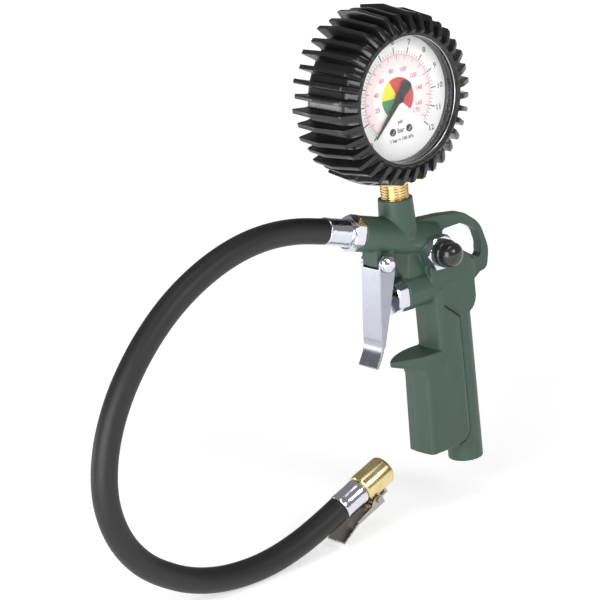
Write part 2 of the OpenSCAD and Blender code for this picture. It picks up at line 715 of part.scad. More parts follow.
module chuck_body() {
    nose = ferrule_len - 1 + chuck_len;
    color(brass) difference() {
        union() {
            along_chuck(0) {
                translate([0, 0, ferrule_len - 1]) rotate_extrude() polygon([[0, 0], [chuck_r - 0.6, 0],
                    [chuck_r, 0.6], [chuck_r, chuck_len - 1.4], [chuck_r - 1.4, chuck_len], [0, chuck_len]]);
                translate([0, 0, ferrule_len - 1]) mirror([0, 0, 1]) barbed_tail(barb_len);
            }
            chuck_axis() translate([clip_at - 2.6, -lug_w / 2, -clip_web + 0.5]) cube([5.2, lug_w, clip_web - 4]);
        }
        along_chuck(0) {
            cylinder(h = nose + 1, r = 1.4);
            translate([0, 0, nose - mouth_depth - 1.6]) cylinder(h = mouth_depth + 3, r = mouth_r);
        }
        chuck_axis() {
            translate([clip_at, half_w, -clip_drop]) rotate([90, 0, 0]) cylinder(h = grip_w, r = clip_pin_r + seat);
            translate([tooth_at - 1.6, -tooth_w / 2 - 0.4, -chuck_r - 1]) cube([3, tooth_w + 0.8, chuck_r - 2]);
            for (s = [-1, 1]) translate([clip_at - 3, s * (lug_w / 2 + 3) - 3, -chuck_r - 1])
                cube([6.4, 6, chuck_r + 1 - 4.6]);
        }
    }
}

module chuck_seal() {
    color(black) along_chuck(ferrule_len - 1 + chuck_len - mouth_depth - 1.6) difference() {
        cylinder(h = 1.6, r = mouth_r - seat);
        translate([0, 0, -1]) cylinder(h = 4, r = 1.6);
    }
}

module depressor() {
    color(brass) along_chuck(ferrule_len - 1 + chuck_len - mouth_depth - 1.6) {
        translate([0, 0, -3]) cylinder(h = 3, r = 1.4 - seat);
        cylinder(h = 3.6, r = 0.8);
    }
}

module clip_pin() {
    color(steel) chuck_axis() translate([clip_at, 0, -clip_drop]) rotate([90, 0, 0]) {
        translate([0, 0, -clip_w / 2 - 0.8]) cylinder(h = clip_w + 1.6, r = clip_pin_r);
        for (s = [-1, 1]) translate([0, 0, s * (clip_w / 2 + 0.55)]) cylinder(h = 0.7, r = 1.5, center = true);
    }
}

// Two coils around the pin with a leg each that presses on the lever's web
module clip_spring() {
    color(steel) chuck_axis() for (s = [-1, 1])
        translate([clip_at, s * (lug_w / 2 + 0.55), -clip_drop]) {
            rotate([90, 0, 0]) difference() {
                cylinder(h = 0.7, r = 1.8, center = true);
                cylinder(h = 2, r = clip_pin_r + 0.1, center = true);
            }
            translate([-9.4, -0.3, -1.8]) cube([9.4, 0.6, 0.6]);
        }
}

module clip_lever() {
    side = rounded([[clip_at + 2.6, -clip_web - clip_t, 0.5], [clip_at + 2.2, -clip_drop + 1.9, 1.6],
        [clip_at - 2.2, -clip_drop + 1.9, 1.6], [clip_at - 5, -clip_web + 1.6, 2], [2, -clip_web + 0.6, 0.6],
        [2, -clip_web - clip_t, 0.3]]);
    color(zinc) chuck_axis() {
        difference() {
            side_plate(side, clip_w);
            translate([0, -clip_w / 2 + clip_t, -clip_web]) cube([30, clip_w - 2 * clip_t, 10]);
            translate([clip_at, clip_w, -clip_drop]) rotate([90, 0, 0]) cylinder(h = 2 * clip_w, r = clip_pin_r + running);
        }
        side_plate([[clip_at + 2, -clip_web], [tooth_at - 0.9, -clip_web], [tooth_at - 0.6, -mouth_r + 0.6],
            [tooth_at + 0.2, -mouth_r + 0.6], [tooth_at + 0.9, -clip_web - clip_t], [clip_at + 2, -clip_web - clip_t]], tooth_w);
        side_plate(rounded([[3, -clip_web, 0.3], [1.4, -clip_web, 1], [-9.8, -clip_web - 3, 0.2],
            [-9.9, -clip_web - 3 - clip_t, 0.2], [1.2, -clip_web - clip_t, 1], [3, -clip_web - clip_t, 0.3]]), clip_w);
    }
}

// ---- trigger lever

function lever_line(z) = lever_front + (lever_low[0] - lever_front) * (lever_top - z) / (lever_top - lever_low[1]);

module trigger_lever() {
    toe = rounded([[lever_line(74) + lever_t, 74, 0], [lever_low[0] + lever_t + 0.3, 66.6, 9],
        [lever_toe[0] + lever_t + 0.4, lever_toe[1] + 0.3, 0.4], [lever_toe[0], lever_toe[1], 0.4],
        [lever_low[0] + 0.2, 67.2, 10], [lever_line(74), 74, 0]]);
    cheek = rounded([[lever_front, lever_top, 0.3], [pin_x - 4, pin_z + 2.2, 2.4], [pin_x - 1.6, pin_z + 4.4, 3.4],
        [pin_x + 4.2, pin_z + 4.4, 4.2], [pin_x + 4.4, pin_z - 5, 6], [pin_x - 0.6, 85, 12], [pin_x - 5.6, 69, 8],
        [lever_line(64.6) + 1.2, 63.8, 1], [lever_line(72), 72, 0]]);
    color(zinc) difference() {
        union() {
            difference() {
                side_plate(cheek, lever_w);
                side_plate([[lever_front + lever_t, lever_top + 20], [lever_line(60) + lever_t, 60], [-20, 60],
                    [-20, lever_top + 20]], lever_w - 2 * lever_t);
                side_plate([[-60, lever_top], [lever_front + 0.6, lever_top], [pin_x - 3, pin_z + 2],
                    [pin_x - 3, pin_z + 20], [-60, pin_z + 20]], lever_w - 2 * lever_t);
            }
            side_plate([[lever_front, lever_top], [lever_front + lever_t, lever_top],
                [lever_line(74) + lever_t, 74], [lever_line(74), 74]], lever_w - 0.4);
            side_plate(toe, lever_w);
        }
        translate([pin_x, lever_w, pin_z]) rotate([90, 0, 0]) cylinder(h = 2 * lever_w, r = lever_pin_r + running);
    }
}

module lever_pin() {
    color(steel) translate([pin_x, 0, pin_z]) rotate([90, 0, 0]) {
        translate([0, 0, -lever_w / 2 - 2]) cylinder(h = lever_w + 2.4, r = lever_pin_r);
        translate([0, 0, lever_w / 2 + 0.2]) rotate_extrude() polygon([[0, 0], [pin_head_r, 0],
            [pin_head_r, 1.1], [pin_head_r * 0.82, 2.4], [pin_head_r * 0.45, pin_head_t], [0, pin_head_t + 0.1]]);
    }
}

module pin_ring() {
    color(steel) translate([pin_x, lever_w / 2 + 0.5 + clip_ring_t, pin_z]) rotate([90, 0, 0]) difference() {
        cylinder(h = clip_ring_t, r = lever_pin_r + 1.4);
        translate([0, 0, -1]) cylinder(h = 3, r = lever_pin_r);
        translate([0, -0.7, -1]) cube([5, 1.4, 3]);
    }
}

// ---- valve train

module gland_nut() {
    color(chrome) valve_axis() difference() {
        union() {
            cylinder(h = gland_thread, r = valve_bore_r - seat);
            mirror([0, 0, 1]) hex_nut(gland_hex_af, gland_hex_t);
        }
        translate([0, 0, -gland_hex_t - 1]) cylinder(h = gland_thread + gland_hex_t + 2, r = plunger_r + running);
    }
}

module gland_oring() {
    color(black) valve_axis() translate([0, 0, gland_thread]) difference() {
        cylinder(h = oring_t, r = valve_bore_r - seat);
        translate([0, 0, -1]) cylinder(h = oring_t + 2, r = plunger_r + running);
    }
}

module plunger() {
    tail = seat_at + seat_t + 0.2;
    tip = lever_line(valve_z) + lever_t + part_gap - valve_x;
    color(steel) valve_axis() {
        translate([0, 0, tip + 1]) cylinder(h = tail - 1 - tip, r = plunger_r);
        translate([0, 0, tip]) cylinder(h = 1, r1 = plunger_r - 0.8, r2 = plunger_r);
    }
}

module valve_seat() {
    color(brass) valve_axis() translate([0, 0, seat_at]) difference() {
        cylinder(h = seat_t, r = valve_bore_r - seat);
        translate([0, 0, -1]) cylinder(h = seat_t + 2, r = plunger_r + part_gap);
    }
}

module valve_seal() {
    color(black) valve_axis() translate([0, 0, seat_at + seat_t + 0.2]) cylinder(h = 1.2, r = disc_r);
}

module valve_disc() {
    color(brass) valve_axis() translate([0, 0, seat_at + seat_t + 1.4]) {
        cylinder(h = 1.2, r = disc_r);
        cylinder(h = disc_t, r = spring_r - wire_r - 0.5);
    }
}

// A compression spring drawn as stacked rings along z
module coil(r, wire, len, turns) {
    for (i = [0:turns - 1]) translate([0, 0, wire + (len - 2 * wire) * i / (turns - 1)])
        rotate_extrude($fn = 32) translate([r, 0]) circle(r = wire, $fn = 16);
}

module valve_spring() {
    at = seat_at + seat_t + 2.6;
    color(steel) valve_axis() translate([0, 0, at]) coil(spring_r, wire_r, valve_front - 1 - at, 5);
}

// ---- bleed valve

module bleed_nut() {
    color(chrome) bleed_axis() difference() {
        union() {
            hex_nut(bleed_af, bleed_nut_t);
            translate([0, 0, -bleed_shank]) cylinder(h = bleed_shank, r = bleed_shank_r - seat);
        }
        translate([0, 0, -bleed_shank - 1]) cylinder(h = 20, r = bleed_stem_r + 0.4);
        translate([0, 0, -1]) cylinder(h = 10, r = 3.6);
    }
}

module bleed_guide() {
    color(black) bleed_axis() translate([0, 0, bleed_nut_t]) difference() {
        rotate_extrude() polygon([[0, 0], [bleed_guide_r, 0], [bleed_guide_r, bleed_guide_t - 0.6],
            [bleed_guide_r - 0.4, bleed_guide_t], [0, bleed_guide_t]]);
        translate([0, 0, -1]) cylinder(h = 8, r = bleed_r + running);
    }
}

module bleed_button() {
    top = bleed_nut_t + bleed_guide_t + bleed_proud;
    steps = 10;
    dome = [for (i = [0:steps]) [bleed_r * cos(90 * i / steps), top - bleed_dome + bleed_dome * sin(90 * i / steps)]];
    color(black) bleed_axis() difference() {
        rotate_extrude() polygon(concat([[0, bleed_nut_t + bleed_travel + 0.4],
            [bleed_r, bleed_nut_t + bleed_travel + 0.4]], dome));
        translate([0, 0, bleed_nut_t]) cylinder(h = 4.4, r = bleed_stem_r);
    }
}

module bleed_stem() {
    color(steel) bleed_axis() translate([0, 0, -bleed_shank - 1.4])
        cylinder(h = bleed_shank + bleed_nut_t + 5.6, r = bleed_stem_r - seat);
}

module bleed_seal() {
    color(black) bleed_axis() translate([0, 0, -bleed_shank - 1.6]) difference() {
        cylinder(h = 1.5, r = 3.2);
        translate([0, 0, -1]) cylinder(h = 4, r = bleed_stem_r);
    }
}

module bleed_spring() {
    color(steel) bleed_axis() translate([0, 0, -1]) coil(2.6, 0.35, bleed_nut_t + bleed_travel + 1.3, 5);
}

body();
gauge_stem();
stem_seal();
gauge_case();
window_ring();
gauge_window();
dial();
dial_screws();
movement_back_plate();
movement_front_plate();
movement_pillars();
bourdon_tube();
bourdon_tip();
link();
sector_gear();
pinion();
hairspring();
pointer();
rubber_boot();
hose_nipple();
gun_ferrule();
hose();
chuck_ferrule();
chuck_body();
chuck_seal();
depressor();
clip_pin();
clip_spring();
clip_lever();
trigger_lever();
lever_pin();
pin_ring();
gland_nut();
gland_oring();
plunger();
valve_seat();
valve_disc();
valve_seal();
valve_spring();
bleed_nut();
bleed_guide();
bleed_button();
bleed_stem();
bleed_seal();
bleed_spring();
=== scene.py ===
import json
import math

import bmesh
import bpy
import numpy as np
from mathutils import Matrix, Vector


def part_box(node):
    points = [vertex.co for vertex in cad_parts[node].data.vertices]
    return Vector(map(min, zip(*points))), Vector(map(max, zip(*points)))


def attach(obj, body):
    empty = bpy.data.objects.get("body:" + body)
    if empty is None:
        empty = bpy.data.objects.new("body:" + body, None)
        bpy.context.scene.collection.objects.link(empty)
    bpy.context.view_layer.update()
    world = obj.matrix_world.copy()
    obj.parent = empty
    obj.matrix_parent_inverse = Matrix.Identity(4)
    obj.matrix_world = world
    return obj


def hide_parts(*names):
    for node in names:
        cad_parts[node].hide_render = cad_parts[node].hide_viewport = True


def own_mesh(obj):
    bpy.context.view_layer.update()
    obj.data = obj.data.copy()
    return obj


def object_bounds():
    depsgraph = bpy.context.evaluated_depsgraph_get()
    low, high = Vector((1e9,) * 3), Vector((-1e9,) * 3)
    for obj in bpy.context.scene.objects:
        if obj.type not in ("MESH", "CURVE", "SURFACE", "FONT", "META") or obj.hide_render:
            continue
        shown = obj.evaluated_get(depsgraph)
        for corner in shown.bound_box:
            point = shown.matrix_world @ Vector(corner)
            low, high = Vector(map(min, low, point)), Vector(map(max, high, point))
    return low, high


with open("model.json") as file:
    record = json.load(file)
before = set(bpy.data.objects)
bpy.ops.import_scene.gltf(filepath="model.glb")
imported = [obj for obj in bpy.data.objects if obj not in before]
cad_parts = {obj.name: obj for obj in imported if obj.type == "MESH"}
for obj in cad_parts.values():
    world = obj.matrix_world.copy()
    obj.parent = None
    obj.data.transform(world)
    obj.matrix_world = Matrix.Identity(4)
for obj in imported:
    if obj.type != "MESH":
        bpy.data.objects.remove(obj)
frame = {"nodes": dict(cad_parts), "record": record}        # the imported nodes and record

cadBox = [list(corner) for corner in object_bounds()]
mm = 0.001
tau = 2 * math.pi

# camera: where it stands, and the point of the object that fixes the framing
viewpoint = {
    "azimuth": -38.4, "elevation": 17.0, "roll": 6.2,
    "distance": 1.45,
    "lens": 191.4, "sensor": 36.0,
    "aim": (-0.028, 0.0, 0.134),
    "aimShare": (0.6582, 0.3287),   # where the aim shows, in shares of the frame
}


def placeCamera(v):
    # back looks from the object to the camera; up and right are rolled about it
    a, e, r = (math.radians(v[k]) for k in ("azimuth", "elevation", "roll"))
    back = np.array([math.sin(a) * math.cos(e), -math.cos(a) * math.cos(e), math.sin(e)])
    side = np.array([math.cos(a), math.sin(a), 0.0])
    top = np.cross(back, side)
    right = side * math.cos(r) - top * math.sin(r)
    up = top * math.cos(r) + side * math.sin(r)
    spread = v["sensor"] / v["lens"] * v["distance"]
    along = (v["aimShare"][0] - 0.5) * spread
    rise = (0.5 - v["aimShare"][1]) * spread
    spot = np.array(v["aim"]) - right * along - up * rise + back * v["distance"]
    camera = bpy.data.cameras.new("camera")
    camera.lens, camera.sensor_width = v["lens"], v["sensor"]
    camera.clip_start, camera.clip_end = 0.05, 200
    holder = bpy.data.objects.new("camera", camera)
    bpy.context.scene.collection.objects.link(holder)
    turned = np.eye(4)
    turned[:3, 0], turned[:3, 1], turned[:3, 2], turned[:3, 3] = right, up, back, spot
    holder.matrix_world = Matrix(turned.tolist())
    bpy.context.scene.camera = holder


placeCamera(viewpoint)
print("camera placed")


# materials: sums on sockets are written as Python sums
class Wire:
    def __init__(self, finish, socket):
        self.finish, self.socket = finish, socket

    def sum(self, operation, a, b):
        return self.finish.node("ShaderNodeMath", {"operation": operation}, {0: a, 1: b})

    def __add__(self, other):
        return self.sum("ADD", self, other)

    def __radd__(self, other):
        return self.sum("ADD", other, self)

    def __sub__(self, other):
        return self.sum("SUBTRACT", self, other)

    def __rsub__(self, other):
        return self.sum("SUBTRACT", other, self)

    def __mul__(self, other):
        return self.sum("MULTIPLY", self, other)

    def __rmul__(self, other):
        return self.sum("MULTIPLY", other, self)


class Finish:
    # one material: constants sit on the shader's own sockets, nodes feed the rest
    def __init__(self, name, constants):
        self.material = bpy.data.materials.new(name)
        self.material.use_nodes = True
        self.tree = self.material.node_tree
        self.shader = self.tree.nodes["Principled BSDF"]
        for socket, value in constants.items():
            self.shader.inputs[socket].default_value = value

    def node(self, kind, settings=None, inputs=None, output=0):
        made = self.tree.nodes.new(kind)
        for key, value in (settings or {}).items():
            if key == "stops":
                ramp = made.color_ramp.elements
                while len(ramp) < len(value):
                    ramp.new(0.5)
                for stop, (at, shade) in zip(ramp, value):
                    stop.position = at
                    stop.color = shade if hasattr(shade, "__len__") else (shade, shade, shade, 1)
            else:
                setattr(made, key, value)
        for key, value in (inputs or {}).items():
            if isinstance(value, Wire):
                self.tree.links.new(value.socket, made.inputs[key])
            else:
                made.inputs[key].default_value = value
        return Wire(self, made.outputs[output])

    def place(self, scale=(1, 1, 1)):
        where = self.node("ShaderNodeTexCoord", output="Object")
        return self.node("ShaderNodeMapping", None, {"Vector": where, "Scale": scale})

    def noise(self, vector, scale, detail=4.0, rough=0.55):
        return self.node("ShaderNodeTexNoise", None,
                         {"Vector": vector, "Scale": scale, "Detail": detail, "Roughness": rough})

    def ramp(self, wire, *stops):
        return self.node("ShaderNodeValToRGB", {"stops": stops}, {0: wire})

    def mix(self, factor, a, b):
        return self.node("ShaderNodeMix", {"data_type": "RGBA"}, {0: factor, 6: a, 7: b}, 2)

    def drive(self, socket, wire):
        self.tree.links.new(wire.socket, self.shader.inputs[socket])

    def bump(self, height, strength, depth):
        inputs = {"Strength": strength, "Distance": depth, "Height": height}
        self.drive("Normal", self.node("ShaderNodeBump", None, inputs))


def tint(r, g, b):
    return (r, g, b, 1.0)


def paintedCasting():
    f = Finish("green casting paint", {"IOR": 1.5, "Coat Weight": 0.0})
    where = f.place()
    cloud = f.noise(where, 60, 3)
    grain = f.noise(where, 1600, 3, 0.6)
    edge = f.node("ShaderNodeAttribute", {"attribute_name": "edge"}, output="Fac")
    groove = f.node("ShaderNodeAttribute", {"attribute_name": "groove"}, output="Fac")
    base = f.mix(cloud, tint(0.034, 0.069, 0.052), tint(0.044, 0.083, 0.063))
    # painted highlight: the convex edges are painted a lighter green
    edgeLit = f.mix(edge * 0.5, base, tint(0.085, 0.15, 0.12))
    # painted shade: the panel-line groove and its banks are painted almost black
    f.drive("Base Color", f.mix(groove * 0.9, edgeLit, tint(0.006, 0.014, 0.010)))
    f.drive("Roughness", f.ramp(grain, (0.3, 0.40), (0.75, 0.54)))
    f.bump(grain * 0.6 + cloud * 0.4, 0.25, 0.00012)
    return f.material


def brightBrass():
    f = Finish("machined brass", {"Metallic": 1.0})
    where = f.place()
    turned = f.noise(f.place(scale=(1, 1, 9)), 420, 3)
    stain = f.noise(where, 90, 4)
    pale = f.ramp(stain, (0.35, 0), (0.7, 1))
    f.drive("Base Color", f.mix(pale, tint(0.66, 0.50, 0.21), tint(0.86, 0.72, 0.40)))
    f.drive("Roughness", f.ramp(turned * 0.6 + stain * 0.4, (0.3, 0.13), (0.8, 0.30)))
    f.bump(turned * 0.7 + stain * 0.3, 0.12, 0.00006)
    return f.material


def plated(name, shade, low, high, streak, dent):
    # streak stretches the fine lines left by the plating and the tool;
    # dent is how deep the slow waves of the surface are
    f = Finish(name, {"Metallic": 1.0})
    lines = f.noise(f.place(scale=streak), 500, 3)
    smudge = f.noise(f.place(), 130, 4)
    f.drive("Base Color", f.mix(smudge, tint(*(c * 0.88 for c in shade)), tint(*shade)))
    f.drive("Roughness", f.ramp(lines * 0.5 + smudge * 0.5, (0.3, low), (0.75, high)))
    f.bump(lines * 0.12 + smudge * 0.88, 0.35, dent)
    return f.material


def moulded(name, shade, rough, grainScale, strength, coat=0.0):
    f = Finish(name, {"IOR": 1.5, "Coat Weight": coat, "Coat Roughness": 0.12})
    where = f.place()
    grain = f.noise(where, grainScale, 4, 0.6)
    dust = f.noise(where, 70, 5)
    f.drive("Base Color", f.mix(dust, tint(*(c * 0.75 for c in shade)), tint(*(c * 1.35 for c in shade))))
    f.drive("Roughness", f.ramp(grain * 0.5 + dust * 0.5, (0.3, rough - 0.07), (0.75, rough + 0.09)))
    f.bump(grain, strength, 0.0001)
    return f.material


def hoseRubber():
    # fine lengthwise extrusion lines on the hose's own map, u round it and v along it
    f = Finish("hose rubber", {"IOR": 1.5})
    own = f.node("ShaderNodeUVMap", output=0)
    lines = f.noise(f.node("ShaderNodeMapping", None, {"Vector": own, "Scale": (90, 14, 1)}), 1.0, 3, 0.6)
    grain = f.noise(f.place(), 2200, 3)
    cloud = f.noise(f.place(), 40, 4)
    f.drive("Base Color", f.mix(cloud, tint(0.006, 0.006, 0.006), tint(0.010, 0.010, 0.0105)))
    f.drive("Roughness", f.ramp(lines * 0.5 + grain * 0.5, (0.3, 0.42), (0.75, 0.58)))
    f.bump(lines * 0.6 + grain * 0.4, 0.25, 0.00008)
    return f.material


def printed(name, shade, rough=0.45, gloss=0.5):
    f = Finish(name, {"IOR": 1.45, "Specular IOR Level": gloss})
    speck = f.noise(f.place(), 3000, 2)
    f.drive("Base Color", f.mix(speck, tint(*(c * 0.92 for c in shade)), tint(*shade)))
    f.drive("Roughness", f.ramp(speck, (0.3, rough - 0.05), (0.7, rough + 0.08)))
    return f.material


def clearPane():
    # glass that lets lamps through
    f = Finish("clear window", {"Base Color": tint(0.98, 0.99, 0.99), "IOR": 1.45, "Transmission Weight": 1.0})
    haze = f.noise(f.place(), 60, 3)
    f.drive("Roughness", f.ramp(haze, (0.35, 0.0), (0.8, 0.03)))
    lamp = f.node("ShaderNodeLightPath", output="Is Shadow Ray")
    clear = f.node("ShaderNodeBsdfTransparent", None, {"Color": tint(0.97, 0.98, 0.98)})
    both = f.node("ShaderNodeMixShader", None, {0: lamp, 1: Wire(f, f.shader.outputs[0]), 2: clear})
    f.tree.links.new(both.socket, f.tree.nodes["Material Output"].inputs["Surface"])
    return f.material


finishes = {
    "cast_body": paintedCasting(),
    "brass": brightBrass(),
    "tube_bronze": plated("bronze tube", (0.72, 0.45, 0.26), 0.25, 0.38, (1, 1, 1), 0.0001),
    "chrome": plated("bright nickel plating", (0.74, 0.74, 0.80), 0.06, 0.17, (1, 1, 6), 0.0004),
    "zinc_steel": plated("zinc plated sheet", (0.39, 0.40, 0.455), 0.22, 0.38, (1, 1, 0.15), 0.00012),
    "steel": plated("bright steel", (0.42, 0.40, 0.37), 0.22, 0.38, (1, 1, 5), 0.0002),
    "black_plastic": moulded("glossy black moulding", (0.012, 0.012, 0.013), 0.2, 900, 0.03, 0.4),
    "boot_rubber": moulded("boot rubber", (0.009, 0.009, 0.009), 0.22, 1400, 0.07),
    "hose_rubber": hoseRubber(),
    "seal_rubber": moulded("seal rubber", (0.02, 0.02, 0.02), 0.55, 1500, 0.15),
    "pointer_black": printed("satin black enamel", (0.005, 0.005, 0.005), 0.5, 0.2),
    "dial_white": printed("dial white", (0.86, 0.85, 0.84), 0.35),
    "clear_plastic": clearPane(),
}
inks = {
    "black": printed("black ink", (0.03, 0.03, 0.03)),
    "rose": printed("rose ink", (0.90, 0.74, 0.74)),
    "red": printed("red ink", (0.60, 0.13, 0.20)),
    "stopRed": printed("red field", (0.60, 0.035, 0.03)),
    "yellow": printed("yellow field", (0.88, 0.72, 0.02)),
    "green": printed("green field", (0.02, 0.25, 0.07)),
}
print("materials made:", len(finishes) + len(inks))


# surfaces as grids of points
def axisFrame(origin, along, side):
    # origin in metres, and three directions: side, across, along
    along, side = np.array(along, float), np.array(side, float)
    along /= np.linalg.norm(along)
    side = side - along * (side @ along)
    side /= np.linalg.norm(side)
    return {"origin": np.array(origin, float), "side": side, "across": np.cross(along, side), "along": along}


def put(axis, x, y, z):
    # local millimetres to metres in the frame
    x, y, z = (v[..., None] for v in (x, y, z))
    return axis["origin"] + mm * (x * axis["side"] + y * axis["across"] + z * axis["along"])


def gridFaces(rows, columns, wrap):
    # quads between neighbouring rows and columns; wrap joins the last column to the first
    r, c = np.meshgrid(np.arange(rows - 1), np.arange(columns if wrap else columns - 1), indexing="ij")
    after = (c + 1) % columns
    here, above = r * columns, (r + 1) * columns
    quad = np.stack([here + c, here + after, above + after, above + c], -1)
    return quad.reshape(-1, 4)


def cleaned(mesh):
    # doubles merged, and faces turned outwards
    work = bmesh.new()
    work.from_mesh(mesh)
    bmesh.ops.remove_doubles(work, verts=work.verts, dist=1e-7)
    bmesh.ops.recalc_face_normals(work, faces=work.faces)
    work.to_mesh(mesh)
    work.free()
    return mesh


def newPiece(name, points, faces, slot, body="gun", material=None, sharp=32, hides=(), uv=None):
    # one object from arrays
    mesh = bpy.data.meshes.new(name)
    mesh.from_pydata(points.reshape(-1, 3).tolist(), [], faces.tolist())
    if uv is not None:
        layer = mesh.uv_layers.new(name="own")
        layer.data.foreach_set("uv", uv.ravel())
    return dress(name, cleaned(mesh), slot, body, material, sharp, hides)


def dress(name, mesh, slot, body, material, sharp, hides):
    # a mesh as a finished piece: its material, its body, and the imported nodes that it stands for
    mesh.materials.clear()
    mesh.materials.append(material or finishes[slot])
    mesh.shade_smooth()
    mesh.set_sharp_from_angle(angle=math.radians(sharp))
    piece = bpy.data.objects.new(name, mesh)
    bpy.context.scene.collection.objects.link(piece)
    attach(piece, body)
    if hides:
        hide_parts(*hides)
    return piece


def outline(corners, steps=5):
    # a line of (radius, height, rounding) corners, each corner cut back by an arc-like curve
    pts = []
    for i, (r, h, cut) in enumerate(corners):
        here = np.array([r, h], float)
        if cut == 0 or i in (0, len(corners) - 1):
            pts.append(here)
            continue
        before, after = np.array(corners[i - 1][:2], float), np.array(corners[i + 1][:2], float)
        a = here + (before - here) / np.linalg.norm(before - here) * cut
        b = here + (after - here) / np.linalg.norm(after - here) * cut
        for t in np.linspace(0, 1, steps + 1):
            pts.append((1 - t) ** 2 * a + 2 * t * (1 - t) * here + t * t * b)
    return np.array(pts)


def lathe(name, axis, corners, slot, body="gun", segments=96, sharp=32, hides=(), material=None, steps=5):
    # a profile of radius and height turned about the axis: x = r cos t, y = r sin t, z = h
    line = outline(corners, steps)
    t = np.arange(segments) / segments * tau
    r, h = line[:, :1], line[:, 1:]
    points = put(axis, r * np.cos(t), r * np.sin(t), h + 0 * t)
    return newPiece(name, points, gridFaces(len(line), segments, True), slot, body, material, sharp, hides)


def hexagon(t, flats):
    # distance from the middle to the side of a hexagon in the direction t
    return flats / 2 / np.cos((t % (tau / 6)) - tau / 12)


def nut(name, axis, flats, low, high, bore, chamfer, hides):
    # a hexagon whose ends are turned to a cone: radius = the lesser of the hexagon's and the cone's
    segments = 192
    edgeLit, steep = 0.096, 1.75     # how far the corners are rounded, and the cone's slope
    t = np.arange(segments) / segments * tau
    corner = flats / math.sqrt(3)
    heights = np.unique(np.concatenate([np.linspace(low, high, 25), [low + 0.15, high - 0.15]]))
    cone = corner - chamfer + np.minimum(heights - low, high - heights) * steep
    wall = np.minimum(np.minimum(hexagon(t, flats), corner - edgeLit)[None, :], cone[:, None])
    hole = np.full((1, segments), bore)
    radius = np.vstack([hole, wall, hole, hole])
    height = np.concatenate([[low], heights, [high, low]])[:, None] + 0 * t
    points = put(axis, radius * np.cos(t), radius * np.sin(t), height)
    return newPiece(name, points, gridFaces(len(radius), segments, True), "chrome", sharp=24, hides=hides)


def smoothLine(points, count):
    # a Catmull-Rom curve through the points, evened out along its length
    p = np.vstack([2 * points[0] - points[1], points, 2 * points[-1] - points[-2]])
    t = np.linspace(0, len(points) - 1 - 1e-9, count * 4)
    i = t.astype(int)
    f = (t - i)[:, None]
    a, b, c, d = p[i], p[i + 1], p[i + 2], p[i + 3]
    square, cube = 2 * a - 5 * b + 4 * c - d, 3 * b - a - 3 * c + d
    line = 0.5 * (2 * b + (c - a) * f + square * f ** 2 + cube * f ** 3)
    run = np.concatenate([[0], np.cumsum(np.linalg.norm(np.diff(line, axis=0), axis=1))])
    even = np.linspace(0, run[-1], count)
    return np.stack([np.interp(even, run, line[:, k]) for k in range(3)], 1), run[-1]


# hose: one fixed length of stiff rubber hose between its two ferrules
hose = {
    "diameter": 0.0118,
    "route": [(-62.4, 126.3), (-72, 129.3), (-87, 133.2), (-102, 135), (-117, 134.4), (-132, 131.3),
              (-146.5, 126), (-160, 118.8), (-172, 110), (-182.5, 100), (-191.5, 89), (-198.5, 77.5),
              (-203.5, 65.5), (-206.3, 53), (-206.5, 41), (-203.8, 29), (-198.5, 18.2), (-190.5, 8.5),
              (-180, 0.5), (-167, -6.5), (-152, -11.2), (-136, -13.2), (-120.5, -12.7), (-105.5, -9.9),
              (-91.5, -5.6), (-78.5, -0.7), (-68.2, 3)],
    "rings": 240, "sides": 48,
    "mapLength": 0.1,        # metres of hose to one unit of its map
}


def makeHose(h):
    # rings square to the route: centre + r (cos a * sideways + sin a * y), with a rounded cut at each end
    route = np.array([(x * mm, 0.0, z * mm) for x, z in h["route"]])
    line, length = smoothLine(route, h["rings"])
    ahead = np.gradient(line, axis=0)
    ahead /= np.linalg.norm(ahead, axis=1)[:, None]
    out = np.stack([-ahead[:, 2], 0 * ahead[:, 0], ahead[:, 0]], 1)
    a = np.arange(h["sides"]) / h["sides"] * tau
    radius = np.full(len(line), h["diameter"] / 2)
    radius[[0, -1]] = 0
    where = line.copy()
    where[0], where[-1] = line[1], line[-2]
    points = where[:, None, :] + radius[:, None, None] * (
        np.cos(a)[None, :, None] * out[:, None, :] + np.sin(a)[None, :, None] * np.array([0.0, 1.0, 0.0]))
    faces = gridFaces(len(line), h["sides"], True)
    row, column = np.divmod(np.arange(len(faces))[:, None], h["sides"])
    step = np.array([[0, 0], [1, 0], [1, 1], [0, 1]])
    ring = length / (len(line) - 1) / h["mapLength"]
    uv = np.stack([(column + step[:, 0]) / h["sides"], (row + step[:, 1]) * ring], -1)
    piece = newPiece("hose_tube", points, faces, "hose_rubber", uv=uv, hides=("hose",))
    return piece, route, length


hosePiece, hoseRoute, hoseLength = makeHose(hose)
print("hose made:", round(hoseLength, 4))


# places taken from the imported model
def middle(node):
    low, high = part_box(node)
    return (np.array(low) + np.array(high)) / 2


tilts = {"outlet": math.radians(17.5), "chuck": math.radians(20)}


def aimedFrom(node, ahead, middleAt, side):
    # a frame on the axis of a round node, its zero middleAt millimetres before the node's middle
    ahead = np.array(ahead, float)
    return axisFrame(middle(node) - ahead * middleAt * mm, ahead, side)


def tiltedUp(angle, forward):
    # a direction that rises by the angle, and the one square to it
    return (forward * math.cos(angle), 0, math.sin(angle)), (-forward * math.sin(angle), 0, math.cos(angle))


